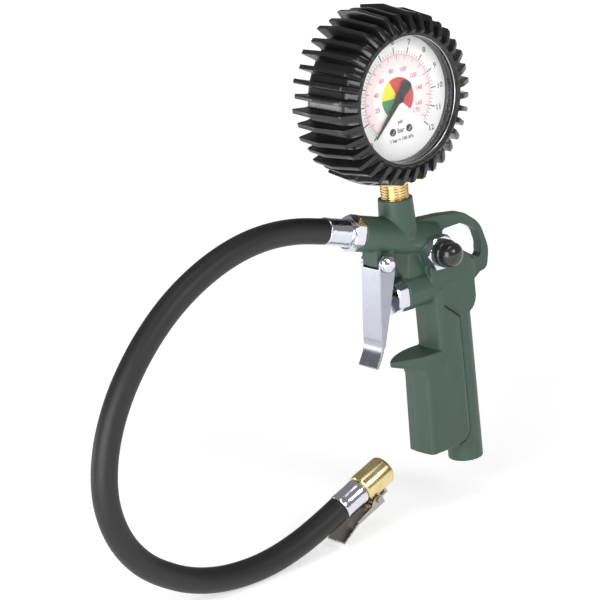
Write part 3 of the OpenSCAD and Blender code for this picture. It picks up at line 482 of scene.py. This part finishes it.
gaugeAxis = axisFrame((middle("dial")[0], 0, middle("dial")[2]), (0, -1, 0), (1, 0, 0))
dialFace = -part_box("dial")[0][1] / mm
outletAhead, outletSide = tiltedUp(tilts["outlet"], -1)
chuckAhead, chuckSide = tiltedUp(tilts["chuck"], 1)
outletAxis = aimedFrom("gun_ferrule", outletAhead, 39, outletSide)
chuckAxis = aimedFrom("chuck_ferrule", chuckAhead, 6, chuckSide)
bleedAxis = aimedFrom("bleed_guide", (0, -1, 0), 6, (1, 0, 0))
glandAxis = axisFrame((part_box("gland_nut")[0][0] + 6.5 * mm, 0, middle("gland_nut")[2]), (1, 0, 0), (0, 0, -1))
stemAxis = axisFrame((middle("gauge_stem")[0], 0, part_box("body")[1][2]), (0, 0, 1), (1, 0, 0))
pinAxis = axisFrame((middle("lever_pin")[0], 0, middle("lever_pin")[2]), (0, -1, 0), (1, 0, 0))
bottom = cadBox[0][2]

# cast body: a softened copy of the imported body, with its panel line cut in
casting = {
    "voxel": 0.00034, "smooth": 10, "share": 0.3,
    "lineHalf": 0.42, "lineDepth": 0.55, "cheek": 1.6, "darkFrom": 6.0,
    "panel": [(-10.5, 10.4), (-6.2, 11.4), (-3.6, 14.2), (-2.9, 17.5), (-2.9, 71.5), (-11.9, 79.2)],
}


def mergedCopy(node, name):
    mesh = frame["nodes"][node].data.copy()
    mesh.name = name
    work = bmesh.new()
    work.from_mesh(mesh)
    bmesh.ops.remove_doubles(work, verts=work.verts, dist=2e-6)
    work.to_mesh(mesh)
    work.free()
    return mesh


def applied(mesh, name, modifiers):
    # the mesh after a stack of modifiers
    holder = bpy.data.objects.new(name + "_work", mesh)
    bpy.context.scene.collection.objects.link(holder)
    for kind, settings in modifiers:
        made = holder.modifiers.new(kind.lower(), kind)
        for key, value in settings.items():
            setattr(made, key, value)
    graph = bpy.context.evaluated_depsgraph_get()
    done = bpy.data.meshes.new_from_object(holder.evaluated_get(graph))
    bpy.data.objects.remove(holder)
    return done


def coordinates(mesh):
    flat = np.zeros(len(mesh.vertices) * 3)
    mesh.vertices.foreach_get("co", flat)
    return flat.reshape(-1, 3)


def edgeWear(mesh):
    # how much each point stands proud of its neighbours, over their mean distance; the mask for the casting's
    # painted edge highlight
    co = coordinates(mesh)
    pairs = np.zeros(len(mesh.edges) * 2, int)
    mesh.edges.foreach_get("vertices", pairs)
    a, b = pairs.reshape(-1, 2).T
    count = np.bincount(a, minlength=len(co)) + np.bincount(b, minlength=len(co))
    total = [np.bincount(a, co[b, k], len(co)) + np.bincount(b, co[a, k], len(co)) for k in range(3)]
    mean = np.stack(total, 1) / count[:, None]
    size = np.linalg.norm(co[a] - co[b], axis=1).mean()
    normal = np.zeros(len(co) * 3)
    mesh.vertices.foreach_get("normal", normal)
    proud = ((co - mean) * normal.reshape(-1, 3)).sum(1) / size
    layer = mesh.attributes.new("edge", "FLOAT", "POINT")
    layer.data.foreach_set("value", np.clip(proud * 5, 0, 1).astype(np.float32))


def distanceToLine(x, z, line):
    # least distance from each point to a bent line
    best = np.full(len(x), 1e9)
    for (ax, az), (bx, bz) in zip(line[:-1], line[1:]):
        dx, dz = bx - ax, bz - az
        t = np.clip(((x - ax) * dx + (z - az) * dz) / (dx * dx + dz * dz), 0, 1)
        best = np.minimum(best, np.hypot(x - ax - t * dx, z - az - t * dz))
    return best


def makeCasting(c):
    mesh = applied(mergedCopy("body", "casting"), "casting", [
        ("REMESH", {"mode": "VOXEL", "voxel_size": c["voxel"]}),
        ("SMOOTH", {"factor": 0.5, "iterations": c["smooth"]}),
    ])
    co = coordinates(mesh) / mm
    away = distanceToLine(co[:, 0], co[:, 2], c["panel"])
    cut = np.clip(1 - away / c["lineHalf"], 0, 1)
    cut = cut * cut * (3 - 2 * cut) * c["lineDepth"]
    side = np.abs(co[:, 1]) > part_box("body")[1][1] / mm - c["cheek"]
    co[:, 1] -= np.where(side, np.sign(co[:, 1]) * cut, 0)
    mesh.vertices.foreach_set("co", (co * mm).ravel())
    mesh = applied(mesh, "casting", [("DECIMATE", {"ratio": c["share"]})])
    # the mask for the painted highlight on the casting's edges
    edgeWear(mesh)
    co = coordinates(mesh) / mm
    # the mask for the painted shade along the panel line, on the casting's sides only
    near = np.clip(1.5 - distanceToLine(co[:, 0], co[:, 2], c["panel"]) / c["lineHalf"], 0, 1)
    layer = mesh.attributes.new("groove", "FLOAT", "POINT")
    layer.data.foreach_set("value", np.where(np.abs(co[:, 1]) > c["darkFrom"], near, 0).astype(np.float32))
    print("casting faces:", len(mesh.polygons))
    return dress("casting", mesh, "cast_body", "gun", None, 70, ("body",))


makeCasting(casting)


def softCopy(node, name, slot, body, voxel, smooth, share=1.0, sharp=50):
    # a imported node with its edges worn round: remeshed finely, then smoothed
    stack = [("REMESH", {"mode": "VOXEL", "voxel_size": voxel}),
             ("SMOOTH", {"factor": 0.5, "iterations": smooth})]
    if share < 1:
        stack.append(("DECIMATE", {"ratio": share}))
    mesh = applied(mergedCopy(node, name), name, stack)
    print(name, "faces:", len(mesh.polygons))
    return dress(name, mesh, slot, body, None, sharp, (node,))


softCopy("trigger_lever", "squeeze_lever", "zinc_steel", "lever", 0.00022, 4, 0.5)
softCopy("clip_lever", "chuck_clip", "steel", "clip", 0.0002, 3, 0.5)

# ribbed rubber boot
boot = {
    "ribs": 36, "shortBy": 0.16, "frontFrom": 12.5,
    # the pad beside the stem: its half angle and where it fades out, in degrees, its front edge, and its rise
    "padHalf": 37.0, "padFade": (1.5, 3.0), "padFront": 4.5, "padRise": 1.02,
    # stations from the back opening over the outside to the lip: floor radius and place, crest radius and place
    "stations": [
        (24.0, -12.4, 24.0, -12.4), (24.0, -14.2, 24.0, -14.2), (24.6, -14.7, 24.6, -14.7),
        (31.0, -14.7, 31.0, -14.7), (33.0, -14.5, 33.0, -14.6), (33.9, -13.7, 34.8, -14.9),
        (34.2, -13.2, 36.6, -16.3), (34.4, -12.7, 38.5, -17.8), (34.6, -12.3, 39.1, -18.2),
        (34.7, -11.8, 39.55, -18.1), (34.8, -10.6, 39.8, -17.0), (34.8, -7.4, 40.45, -11.0),
        (34.8, -4.6, 41.14, -4.8), (34.8, -4.0, 41.18, -4.0), (34.8, -3.0, 41.1, -3.2),
        (34.8, 0.0, 40.7, 0.0), (34.8, 4.0, 40.2, 4.5), (34.8, 8.0, 39.7, 8.6),
        (34.8, 10.6, 39.3, 12.6), (34.7, 11.4, 39.2, 13.3), (34.5, 12.0, 38.95, 13.75),
        (34.2, 12.6, 38.5, 14.1), (33.2, 14.0, 36.4, 15.5), (32.2, 15.2, 34.2, 16.7),
        (31.5, 16.0, 32.6, 17.6), (31.1, 16.5, 31.8, 17.9), (30.8, 16.8, 31.2, 17.9),
        (30.6, 17.0, 30.7, 17.5), (30.2, 17.2, 30.2, 17.2), (29.5, 17.2, 29.5, 17.2),
        (29.05, 17.0, 29.05, 17.0), (28.9, 16.5, 28.9, 16.5), (28.9, 15.2, 28.9, 15.2),
        (31.5, 15.2, 31.5, 15.2), (31.5, -12.4, 31.5, -12.4), (24.0, -12.4, 24.0, -12.4)],
    # across one rib: share of the way from floor to crest, and the distance from the rib's middle plane
    "section": [(0.0, -1.75), (0.06, -1.45), (0.16, -1.34), (0.93, -1.12), (0.985, -1.04), (1.0, -0.86),
                (1.0, 0.86), (0.985, 1.04), (0.93, 1.12), (0.16, 1.34), (0.06, 1.45), (0.0, 1.75)],
}


def makeBoot(b):
    # each point lies a share of the way from the floor line to the crest line, turned to its rib and
    # moved sideways; near the stem the share is raised to one, which joins the ribs to a smooth pad
    table = np.array(b["stations"])
    floor, crest = table[:, :2], table[:, 2:]
    ribs = np.arange(b["ribs"])
    pitch = tau / b["ribs"]
    share = np.concatenate([[s for s, _ in b["section"]], [0.0]])
    aside = np.concatenate([[t for _, t in b["section"]], [0.0]])
    half = np.concatenate([np.zeros(len(b["section"])), [0.5]])
    angle = ((ribs[:, None] + 1.0 + half[None, :]) * pitch - tau / 4).ravel()
    aside = np.tile(aside, b["ribs"])
    share = np.tile(share, b["ribs"])
    short = np.repeat(ribs % 2, len(b["section"]) + 1) * b["shortBy"]
    fromStem = np.abs((np.degrees(angle) + 90 + 180) % 360 - 180)
    inPad = np.clip((b["padHalf"] + b["padFade"][0] - fromStem) / b["padFade"][1], 0, 1)[None, :]
    atBack = np.clip((b["padFront"] - crest[:, 1]) / b["padFade"][1], 0, 1)[:, None]
    pad = inPad * atBack
    atFront = np.clip((crest[:, 1] - b["frontFrom"]) / 2, 0, 1)[:, None]
    height = share[None, :] * (1 - short[None, :] * (1 - atFront))
    height = height + (b["padRise"] - height) * pad
    sideways = aside[None, :]
    radius = floor[:, :1] + (crest[:, :1] - floor[:, :1]) * height
    along = floor[:, 1:] + (crest[:, 1:] - floor[:, 1:]) * height
    x = radius * np.cos(angle) - sideways * np.sin(angle)
    y = radius * np.sin(angle) + sideways * np.cos(angle)
    plain = (np.abs(floor - crest).sum(1) < 1e-6)[:, None]
    turned = angle + sideways / np.maximum(radius, 1)
    x = np.where(plain, radius * np.cos(turned), x)
    y = np.where(plain, radius * np.sin(turned), y)
    points = put(gaugeAxis, x, y, along)
    faces = gridFaces(len(table), points.shape[1], True)
    return newPiece("ribbed_boot", points, faces, "boot_rubber", sharp=26, hides=("rubber_boot",))


makeBoot(boot)
print("boot made")

# gauge: case, surround, dial, prints, pointer, window
gauge = {
    "scaleFrom": 225.0, "degreesPerBar": 22.5, "bars": 12, "psiPerBar": 14.5038,
    "ink": 0.025,
    # ticks: from radius, to radius, width
    "barTicks": (19.9, 23.0, 0.55), "barSmall": (19.9, 21.2, 0.2),
    "psiTicks": (17.3, 19.3, 0.42), "psiSmall": (18.5, 19.3, 0.16), "psiLine": (19.4, 19.62),
    # numbers: height and radius; words: height and how far below the middle
    "barNumbers": (3.5, 25.4), "psiNumbers": (2.9, 12.9),
    "words": [("psi", 2.7, -10.9), ("bar", 3.1, -14.9), ("1 bar = 100 kPa", 2.2, -19.0)],
    "band": (14.4, 19.4), "field": 9.4, "screws": (4.9, -14.9),
    "fields": [("green", 0, 2.1), ("yellow", 2.1, 4.8), ("stopRed", 4.8, 12)],
}


def scaleAngle(bar):
    return math.radians(gauge["scaleFrom"] - gauge["degreesPerBar"] * bar)


def ringPlate(inner, outer, start, end, low, high, steps):
    # a flat band between two radii and two angles: a four-cornered section carried along an arc
    t = np.linspace(start, end, steps + 1)[:, None]
    r = np.array([inner, outer, outer, inner])[None, :]
    z = np.array([low, low, high, high])[None, :] + 0 * t
    points = np.stack([r * np.cos(t), r * np.sin(t), z], -1)
    faces = gridFaces(steps + 1, 4, True).tolist()
    last = 4 * steps
    return points.reshape(-1, 3), faces + [[0, 1, 2, 3], [last + 3, last + 2, last + 1, last]]


def tick(angle, inner, outer, width, low, high):
    # a straight bar along a radius
    u, v = np.array([math.cos(angle), math.sin(angle)]), np.array([-math.sin(angle), math.cos(angle)])
    v = v * width / 2
    flat = [u * inner - v, u * outer - v, u * outer + v, u * inner + v]
    points = np.array([[*p, z] for z in (low, high) for p in flat])
    return points, [[0, 3, 2, 1], [4, 5, 6, 7], [0, 1, 5, 4], [1, 2, 6, 5], [2, 3, 7, 6], [3, 0, 4, 7]]


def lettering(words, height, x, y, low, thick):
    # generic numbers and units from the built-in font, as a closed thin mesh, centred on x and y
    curve = bpy.data.curves.new("words", "FONT")
    curve.body, curve.size, curve.align_x, curve.align_y = words, height, "CENTER", "CENTER"
    curve.extrude, curve.resolution_u, curve.offset = thick / 2, 3, 0.07
    holder = bpy.data.objects.new("words", curve)
    bpy.context.scene.collection.objects.link(holder)
    made = bpy.data.meshes.new_from_object(holder.evaluated_get(bpy.context.evaluated_depsgraph_get()))
    points = coordinates(made) + np.array([x, y, low + thick / 2])
    faces = [list(face.vertices) for face in made.polygons]
    bpy.data.objects.remove(holder)
    bpy.data.curves.remove(curve)
    bpy.data.meshes.remove(made)
    return points, faces


def printPiece(name, parts, ink):
    # many flat parts of one ink joined into one thin piece on the dial
    points, faces, start = [], [], 0
    for p, f in parts:
        points.append(p)
        faces += [[i + start for i in face] for face in f]
        start += len(p)
    flat = np.vstack(points)
    mesh = bpy.data.meshes.new(name)
    mesh.from_pydata(put(gaugeAxis, flat[:, 0], flat[:, 1], flat[:, 2]).tolist(), [], faces)
    return dress(name, cleaned(mesh), "dial_white", "gun", inks[ink], 20, ())


def makeDial(g):
    low, ink = dialFace, g["ink"]
    lathe("dial_plate", gaugeAxis, [(0, low, 0), (28.45, low, 0), (28.6, low - 0.15, 0), (28.6, low - 0.6, 0),
                                    (0, low - 0.6, 0)], "dial_white", segments=160, hides=("dial",))
    start, end = scaleAngle(0), scaleAngle(g["bars"])
    printPiece("band_print", [ringPlate(*g["band"], start, end, low, low + ink, 90)], "rose")
    for shade, a, b in g["fields"]:
        wedge = ringPlate(1.2, g["field"], scaleAngle(a), scaleAngle(b), low, low + ink, 32)
        printPiece("field_" + shade, [wedge], shade)
    second = (low + ink, low + 2 * ink)      # the second layer of ink, over the band
    black, red = [], []
    for i in range(g["bars"] * 5 + 1):
        black.append(tick(scaleAngle(i / 5), *g["barSmall" if i % 5 else "barTicks"], *second))
    for i in range(86):
        red.append(tick(scaleAngle(i * 2 / g["psiPerBar"]), *g["psiSmall" if i % 5 else "psiTicks"], *second))
    red.append(ringPlate(*g["psiLine"], start, end, *second, 90))
    size, r = g["barNumbers"]
    for bar in range(g["bars"] + 1):
        a = scaleAngle(bar)
        black.append(lettering(str(bar), size, r * math.cos(a), r * math.sin(a), low, ink))
    size, r = g["psiNumbers"]
    for psi in [*range(20, 161, 20), 170]:
        a = scaleAngle(psi / g["psiPerBar"])
        red.append(lettering(str(psi), size, r * math.cos(a), r * math.sin(a), low, ink))
    for words, size, y in g["words"]:
        black.append(lettering(words, size, 0, y, low, ink))
    printPiece("bar_print", black, "black")
    printPiece("psi_print", red, "red")
    for k, x in enumerate((-g["screws"][0], g["screws"][0])):
        spot = put(gaugeAxis, *(np.array([v]) for v in (x, g["screws"][1], low)))[0]
        head = axisFrame(spot, (0, -1, 0), (1, 0, 0.9))
        line = [(0, 0.62, 0), (1.4, 0.6, 0.15), (1.7, 0.35, 0.1), (1.7, 0, 0), (0, 0, 0)]
        hidden = ("dial_screws",) if k == 0 else ()
        lathe(f"dial_screw_{k}", head, line, "pointer_black", segments=40, hides=hidden)
        slotPoints, slotFaces = tick(0, -1.3, 1.3, 0.55, 0.6, 0.66)
        newPiece(f"screw_slot_{k}", put(head, *slotPoints.T), np.array(slotFaces), "steel")


def makeCaseAndWindow():
    low = dialFace
    lathe("gauge_shell", gaugeAxis, [
        (0, -12.4, 0), (8, -12.4, 0.3), (8.6, -12.1, 0.3), (22, -12.1, 0.3), (22.8, -12.4, 0.3),
        (30.9, -12.4, 0.5), (31.5, -11.8, 0.3), (31.5, 10.5, 0), (30.2, 10.5, 0), (30.2, -11.1, 0),
        (0, -11.1, 0)], "black_plastic", segments=160, hides=("gauge_case",))
    lathe("dial_surround", gaugeAxis, [
        (28.62, low - 0.5, 0), (28.75, 13.0, 0.2), (29.15, 13.9, 0), (30.1, 13.9, 0), (30.1, low - 0.5, 0),
        (28.62, low - 0.5, 0)], "black_plastic", segments=160)
    lathe("window_bezel", gaugeAxis, [
        (31.5, 10.52, 0), (31.5, 15.0, 0), (29.3, 15.0, 0.2), (29.2, 14.02, 0), (30.2, 14.02, 0),
        (30.22, 10.52, 0), (31.5, 10.52, 0)], "black_plastic", segments=160, hides=("window_ring",))
    # the bright trim is a small circle carried round the window's edge
    trim = [(28.95 + 0.22 * math.cos(a), 15.05 + 0.22 * math.sin(a), 0) for a in np.linspace(0, tau, 17)]
    lathe("window_trim", gaugeAxis, trim, "chrome", segments=160, sharp=80)
    # the window is a cap of a ball: radius = R sin v, height = top - R (1 - cos v)
    rise, reach, thick = 2.2, 28.6, 1.6
    bend = (reach ** 2 + rise ** 2) / (2 * rise)
    a = np.linspace(math.asin(reach / bend), 0, 26)
    dome = [(bend * math.sin(v), 14.0 + rise - bend * (1 - math.cos(v)), 0) for v in a]
    inner = [(r, h - thick, 0) for r, h, _ in dome[::-1]]
    lathe("gauge_pane", gaugeAxis, [(30.16, 12.42, 0), (30.16, 14.0, 0), *dome, *inner, (30.16, 12.42, 0)],
          "clear_plastic", segments=160, sharp=40, hides=("gauge_window",))


def makePointer():
    # blade and tail as a closed outline about the pointer's line, drawn over a low roof-shaped section
    along = np.concatenate([np.linspace(-9, -8.2, 8), np.linspace(-7.8, 2.4, 16), np.linspace(3.4, 22, 24)])
    tail = np.clip((along + 9) / 2.4, 0, 1)
    wide = (3.4 - (along + 9) * 0.18) * np.sqrt(1 - (1 - tail) ** 2) + 0.02
    width = np.where(along < 2.4, wide, 1.45 - (along - 2.4) * 0.056)
    lift = np.array([0.0, 0.36, 0.56, 0.36, 0.0, 0.0])
    spread = np.array([-1.0, -0.92, 0.0, 0.92, 1.0, 0.0])
    turn = scaleAngle(0)
    u, v = along[:, None] * np.ones(6), width[:, None] * spread
    x, y = u * math.cos(turn) - v * math.sin(turn), u * math.sin(turn) + v * math.cos(turn)
    z = 9.25 + lift[None, :] * np.clip(width, 0.2, 1)[:, None]
    points = put(gaugeAxis, x, y, z)
    ends = [row.mean(1, keepdims=True).repeat(6, 1) for row in (points[:1], points[-1:])]
    closed = np.vstack([ends[0], points, ends[1]])
    newPiece("pointer_blade", closed, gridFaces(len(closed), 6, True), "pointer_black", "pointer_arbor",
             sharp=30, hides=("pointer",))
    cap = [(0, 10.3, 0), (1.5, 10.25, 0.3), (2.4, 9.9, 0.2), (2.5, 9.25, 0), (0, 9.25, 0)]
    pin = [(0, 10.75, 0), (0.5, 10.7, 0.1), (0.62, 10.5, 0), (0.62, 10.2, 0), (0, 10.2, 0)]
    lathe("pointer_cap", gaugeAxis, cap, "pointer_black", "pointer_arbor", segments=64)
    lathe("pointer_pin", gaugeAxis, pin, "pointer_black", "pointer_arbor", segments=32)


makeDial(gauge)
makeCaseAndWindow()
makePointer()
print("gauge made")

# brass stem
stem = {"major": 6.58, "depth": 0.78, "pitch": 1.337, "from": -1.5, "to": 7.2}


def makeStem(s):
    # screw thread: radius = major - depth * a rounded saw of (height / pitch - turn), fading out at its top
    rows, segments = 150, 96
    h = np.linspace(s["from"], s["to"], rows)[:, None]
    t = (np.arange(segments) / segments)[None, :]
    phase = (h / s["pitch"] - t) % 1
    saw = 0.5 - 0.5 * np.cos(tau * phase)
    fade = np.clip((s["to"] - 0.5 - h) / 0.9, 0, 1)
    r = s["major"] - s["depth"] * np.clip(saw * 1.35 - 0.15, 0, 1) * fade
    points = put(stemAxis, r * np.cos(t * tau), r * np.sin(t * tau), h + 0 * t)
    zero = np.zeros((1, segments))
    caps = [put(stemAxis, zero, zero, zero + v) for v in (s["from"], s["to"])]
    points = np.vstack([caps[0], points, caps[1]])
    newPiece("stem_thread", points, gridFaces(rows + 2, segments, True), "brass", sharp=50)
    mesh = mergedCopy("gauge_stem", "stem_block")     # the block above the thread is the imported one
    level = tuple(stemAxis["origin"] + np.array([0, 0, (s["to"] + 0.02) * mm]))
    work = bmesh.new()
    work.from_mesh(mesh)
    bmesh.ops.bisect_plane(work, geom=work.verts[:] + work.edges[:] + work.faces[:], dist=1e-7,
                           plane_co=level, plane_no=(0, 0, -1), clear_outer=True)
    bmesh.ops.holes_fill(work, edges=[e for e in work.edges if e.is_boundary])
    work.to_mesh(mesh)
    work.free()
    mesh = applied(mesh, "stem_block", [("BEVEL", {"width": 0.0004, "segments": 2, "limit_method": "ANGLE"})])
    dress("stem_block", mesh, "brass", "gun", None, 30, ("gauge_stem",))


makeStem(stem)
print("stem made")

# springs, copied from the imported coils onto meshes of their own
springs = {
    "valve_spring": ("valve_coil", "valve_slide", (1, 0, 0), 3.4),
    "bleed_spring": ("bleed_coil", "bleed_press", (0, 1, 0), 2.5),
}


def makeSpring(node, name):
    piece = dress(name, mergedCopy(node, name), "steel", "gun", None, 50, (node,))
    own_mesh(piece)


for node, (name, joint, axis, travel) in springs.items():
    makeSpring(node, name)

# crimped ferrules: their profile is measured from the end beside the metal, and both share it
ferruleLine = [(3.4, 0, 0), (5.6, 0, 0.2), (6.15, 0.4, 0.3), (6.4, 1.2, 0.3), (6.4, 3.4, 0.4), (6.28, 4.2, 0.5),
               (6.28, 9.2, 0.5), (6.3, 11.0, 0.4), (6.4, 12.6, 0.4), (6.4, 13.7, 0.25), (6.1, 14.0, 0.1),
               (5.75, 13.9, 0), (5.75, 12.0, 0), (3.4, 12.0, 0), (3.4, 0, 0)]
outletFerrule = [(r, 32.0 + h, c) for r, h, c in ferruleLine]
chuckFerrule = [(r, 13.0 - h, c) for r, h, c in ferruleLine]
nut("outlet_hex", outletAxis, 15, 26.0, 32.0, 3.4, 1.25, ("hose_nipple",))
lathe("outlet_ferrule", outletAxis, outletFerrule, "chrome", segments=128, sharp=50, hides=("gun_ferrule",))
lathe("chuck_sleeve", chuckAxis, chuckFerrule, "chrome", segments=128, sharp=50, hides=("chuck_ferrule",))

# clip-on chuck: a turned shell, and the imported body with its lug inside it
chuckLine = [(1.5, 13.0, 0), (6.2, 13.0, 0.25), (7.0, 13.7, 0.35), (7.0, 28.6, 0.5), (6.5, 29.6, 0.4),
             (5.9, 30.0, 0.2), (4.7, 30.0, 0.2), (4.2, 29.4, 0.2), (4.2, 21.0, 0), (4.2, 19.4, 0),
             (1.5, 19.4, 0), (1.5, 13.0, 0)]
lathe("chuck_shell", chuckAxis, chuckLine, "brass", segments=128, sharp=50)
softCopy("chuck_body", "chuck_lug", "brass", "gun", 0.00025, 2, 0.5)
print("chuck made")

# valve gland, lever pin, bleed valve
nut("gland_hex", glandAxis, 15, -6.5, 0.0, 1.7, 1.3, ("gland_nut",))
rivet = {"radius": 4.3, "from": 6.7, "rise": 3.3, "shank": 2.0, "shankEnd": -8.5}


def makeRivet(v):
    # a domed head with a low step round its crown, and the shank behind it
    r, low, top = v["radius"], v["from"], v["from"] + v["rise"]
    line = [(0, top, 0), (r * 0.42, top - 0.06, 0.4), (r * 0.56, top - 0.5, 0.25), (r * 0.62, top - 0.6, 0.1),
            (r * 0.86, top - 1.25, 0.5), (r, top - 2.5, 0.5), (r, low + 0.05, 0), (v["shank"], low, 0),
            (v["shank"], v["shankEnd"] + 0.1, 0.2), (0, v["shankEnd"], 0)]
    lathe("rivet", pinAxis, line, "chrome", segments=96, sharp=50, hides=("lever_pin",))


makeRivet(rivet)
bleedCap = {"radius": 5.8, "from": 6.9, "domeFrom": 9.7, "rise": 4.6}
nut("bleed_hex", bleedAxis, 15, 0.0, 4.0, 1.7, 1.2, ("bleed_nut",))
collarLine = [(5.86, 4.0, 0), (6.6, 4.0, 0), (6.6, 6.9, 0.35), (6.1, 7.6, 0.35), (5.86, 7.6, 0), (5.86, 4.0, 0)]
lathe("bleed_collar", bleedAxis, collarLine, "black_plastic", segments=96, hides=("bleed_guide",))


def makeBleedCap(v):
    # the dome is half an oval: radius = R cos v, height = foot + rise sin v
    r, low, foot, rise = v["radius"], v["from"], v["domeFrom"], v["rise"]
    dome = [(r * math.cos(a), foot + rise * math.sin(a), 0) for a in np.linspace(0, tau / 4, 22)]
    lathe("bleed_cap", bleedAxis, [(0, low, 0), (r, low, 0), *dome], "black_plastic", "bleed", segments=96,
          sharp=60, hides=("bleed_button",))


makeBleedCap(bleedCap)
print("fittings made")

# floor and light
studio = {
    "floorHalf": 40.0, "around": 0.28, "glowNear": 0.5, "glowFar": 0.95, "glowReach": 1.6,
    # name, place, size across and up in metres, watts
    "boxes": [("left", (-1.25, -0.45, 0.40), (1.0, 0.9), 14),
              ("front", (0.1, -1.35, 0.85), (0.6, 0.5), 6),
              ("behind", (-0.75, 0.85, 0.06), (0.3, 0.22), 1.3),
              ("above", (-0.3, -0.2, 1.6), (0.8, 0.5), 3)],
    "lit": (-0.05, 0, 0.12),     # the point that every box faces
}


def softBox(name, place, size, watts, lit):
    lamp = bpy.data.lights.new(name, "AREA")
    lamp.shape, lamp.size, lamp.size_y, lamp.energy = "RECTANGLE", size[0], size[1], watts
    holder = bpy.data.objects.new(name, lamp)
    bpy.context.scene.collection.objects.link(holder)
    away = np.array(place) - np.array(lit)
    across = np.cross((0, 0, 1), away) if abs(away[2]) < 1 else (1, 0, 0)
    turned = axisFrame(place, away, across)
    pose = np.eye(4)
    pose[:3] = np.column_stack([turned["side"], turned["across"], turned["along"], place])
    holder.matrix_world = Matrix(pose.tolist())


def makeStudio(s):
    # a white floor that glows more with distance, dim surroundings and soft boxes
    plane = bpy.data.meshes.new("floor")
    half, low = s["floorHalf"], bottom - 0.0002
    corners = [(-half, -half, low), (half, -half, low), (half, half, low), (-half, half, low)]
    plane.from_pydata(corners, [], [(0, 1, 2, 3)])
    f = Finish("pale floor", {"Roughness": 0.9, "Specular IOR Level": 0.1, "Emission Strength": 1.0})
    f.drive("Base Color", f.mix(f.noise(f.place(), 3, 2), tint(0.86, 0.86, 0.86), tint(0.88, 0.88, 0.88)))
    reach = f.place(scale=(1 / s["glowReach"],) * 3)
    far = f.node("ShaderNodeVectorMath", {"operation": "LENGTH"}, {0: reach}, 1)
    f.drive("Emission Color", f.ramp(far, (0.1, s["glowNear"]), (1.0, s["glowFar"])))
    plane.materials.append(f.material)
    floor = bpy.data.objects.new("floor", plane)
    bpy.context.scene.collection.objects.link(floor)
    sky = bpy.data.worlds.new("studio")
    sky.use_nodes = True
    bpy.context.scene.world = sky
    sky.node_tree.nodes["Background"].inputs[0].default_value = tint(1, 1, 1)
    sky.node_tree.nodes["Background"].inputs[1].default_value = s["around"]
    for box in s["boxes"]:
        softBox(*box, s["lit"])
    bpy.context.scene.view_settings.view_transform = "Standard"


makeStudio(studio)
print("studio made")

for part in frame["record"]["subparts"]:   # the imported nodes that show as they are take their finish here
    mesh = frame["nodes"][part["node"]].data
    mesh.materials.clear()
    mesh.materials.append(finishes[part["material_slot"]])
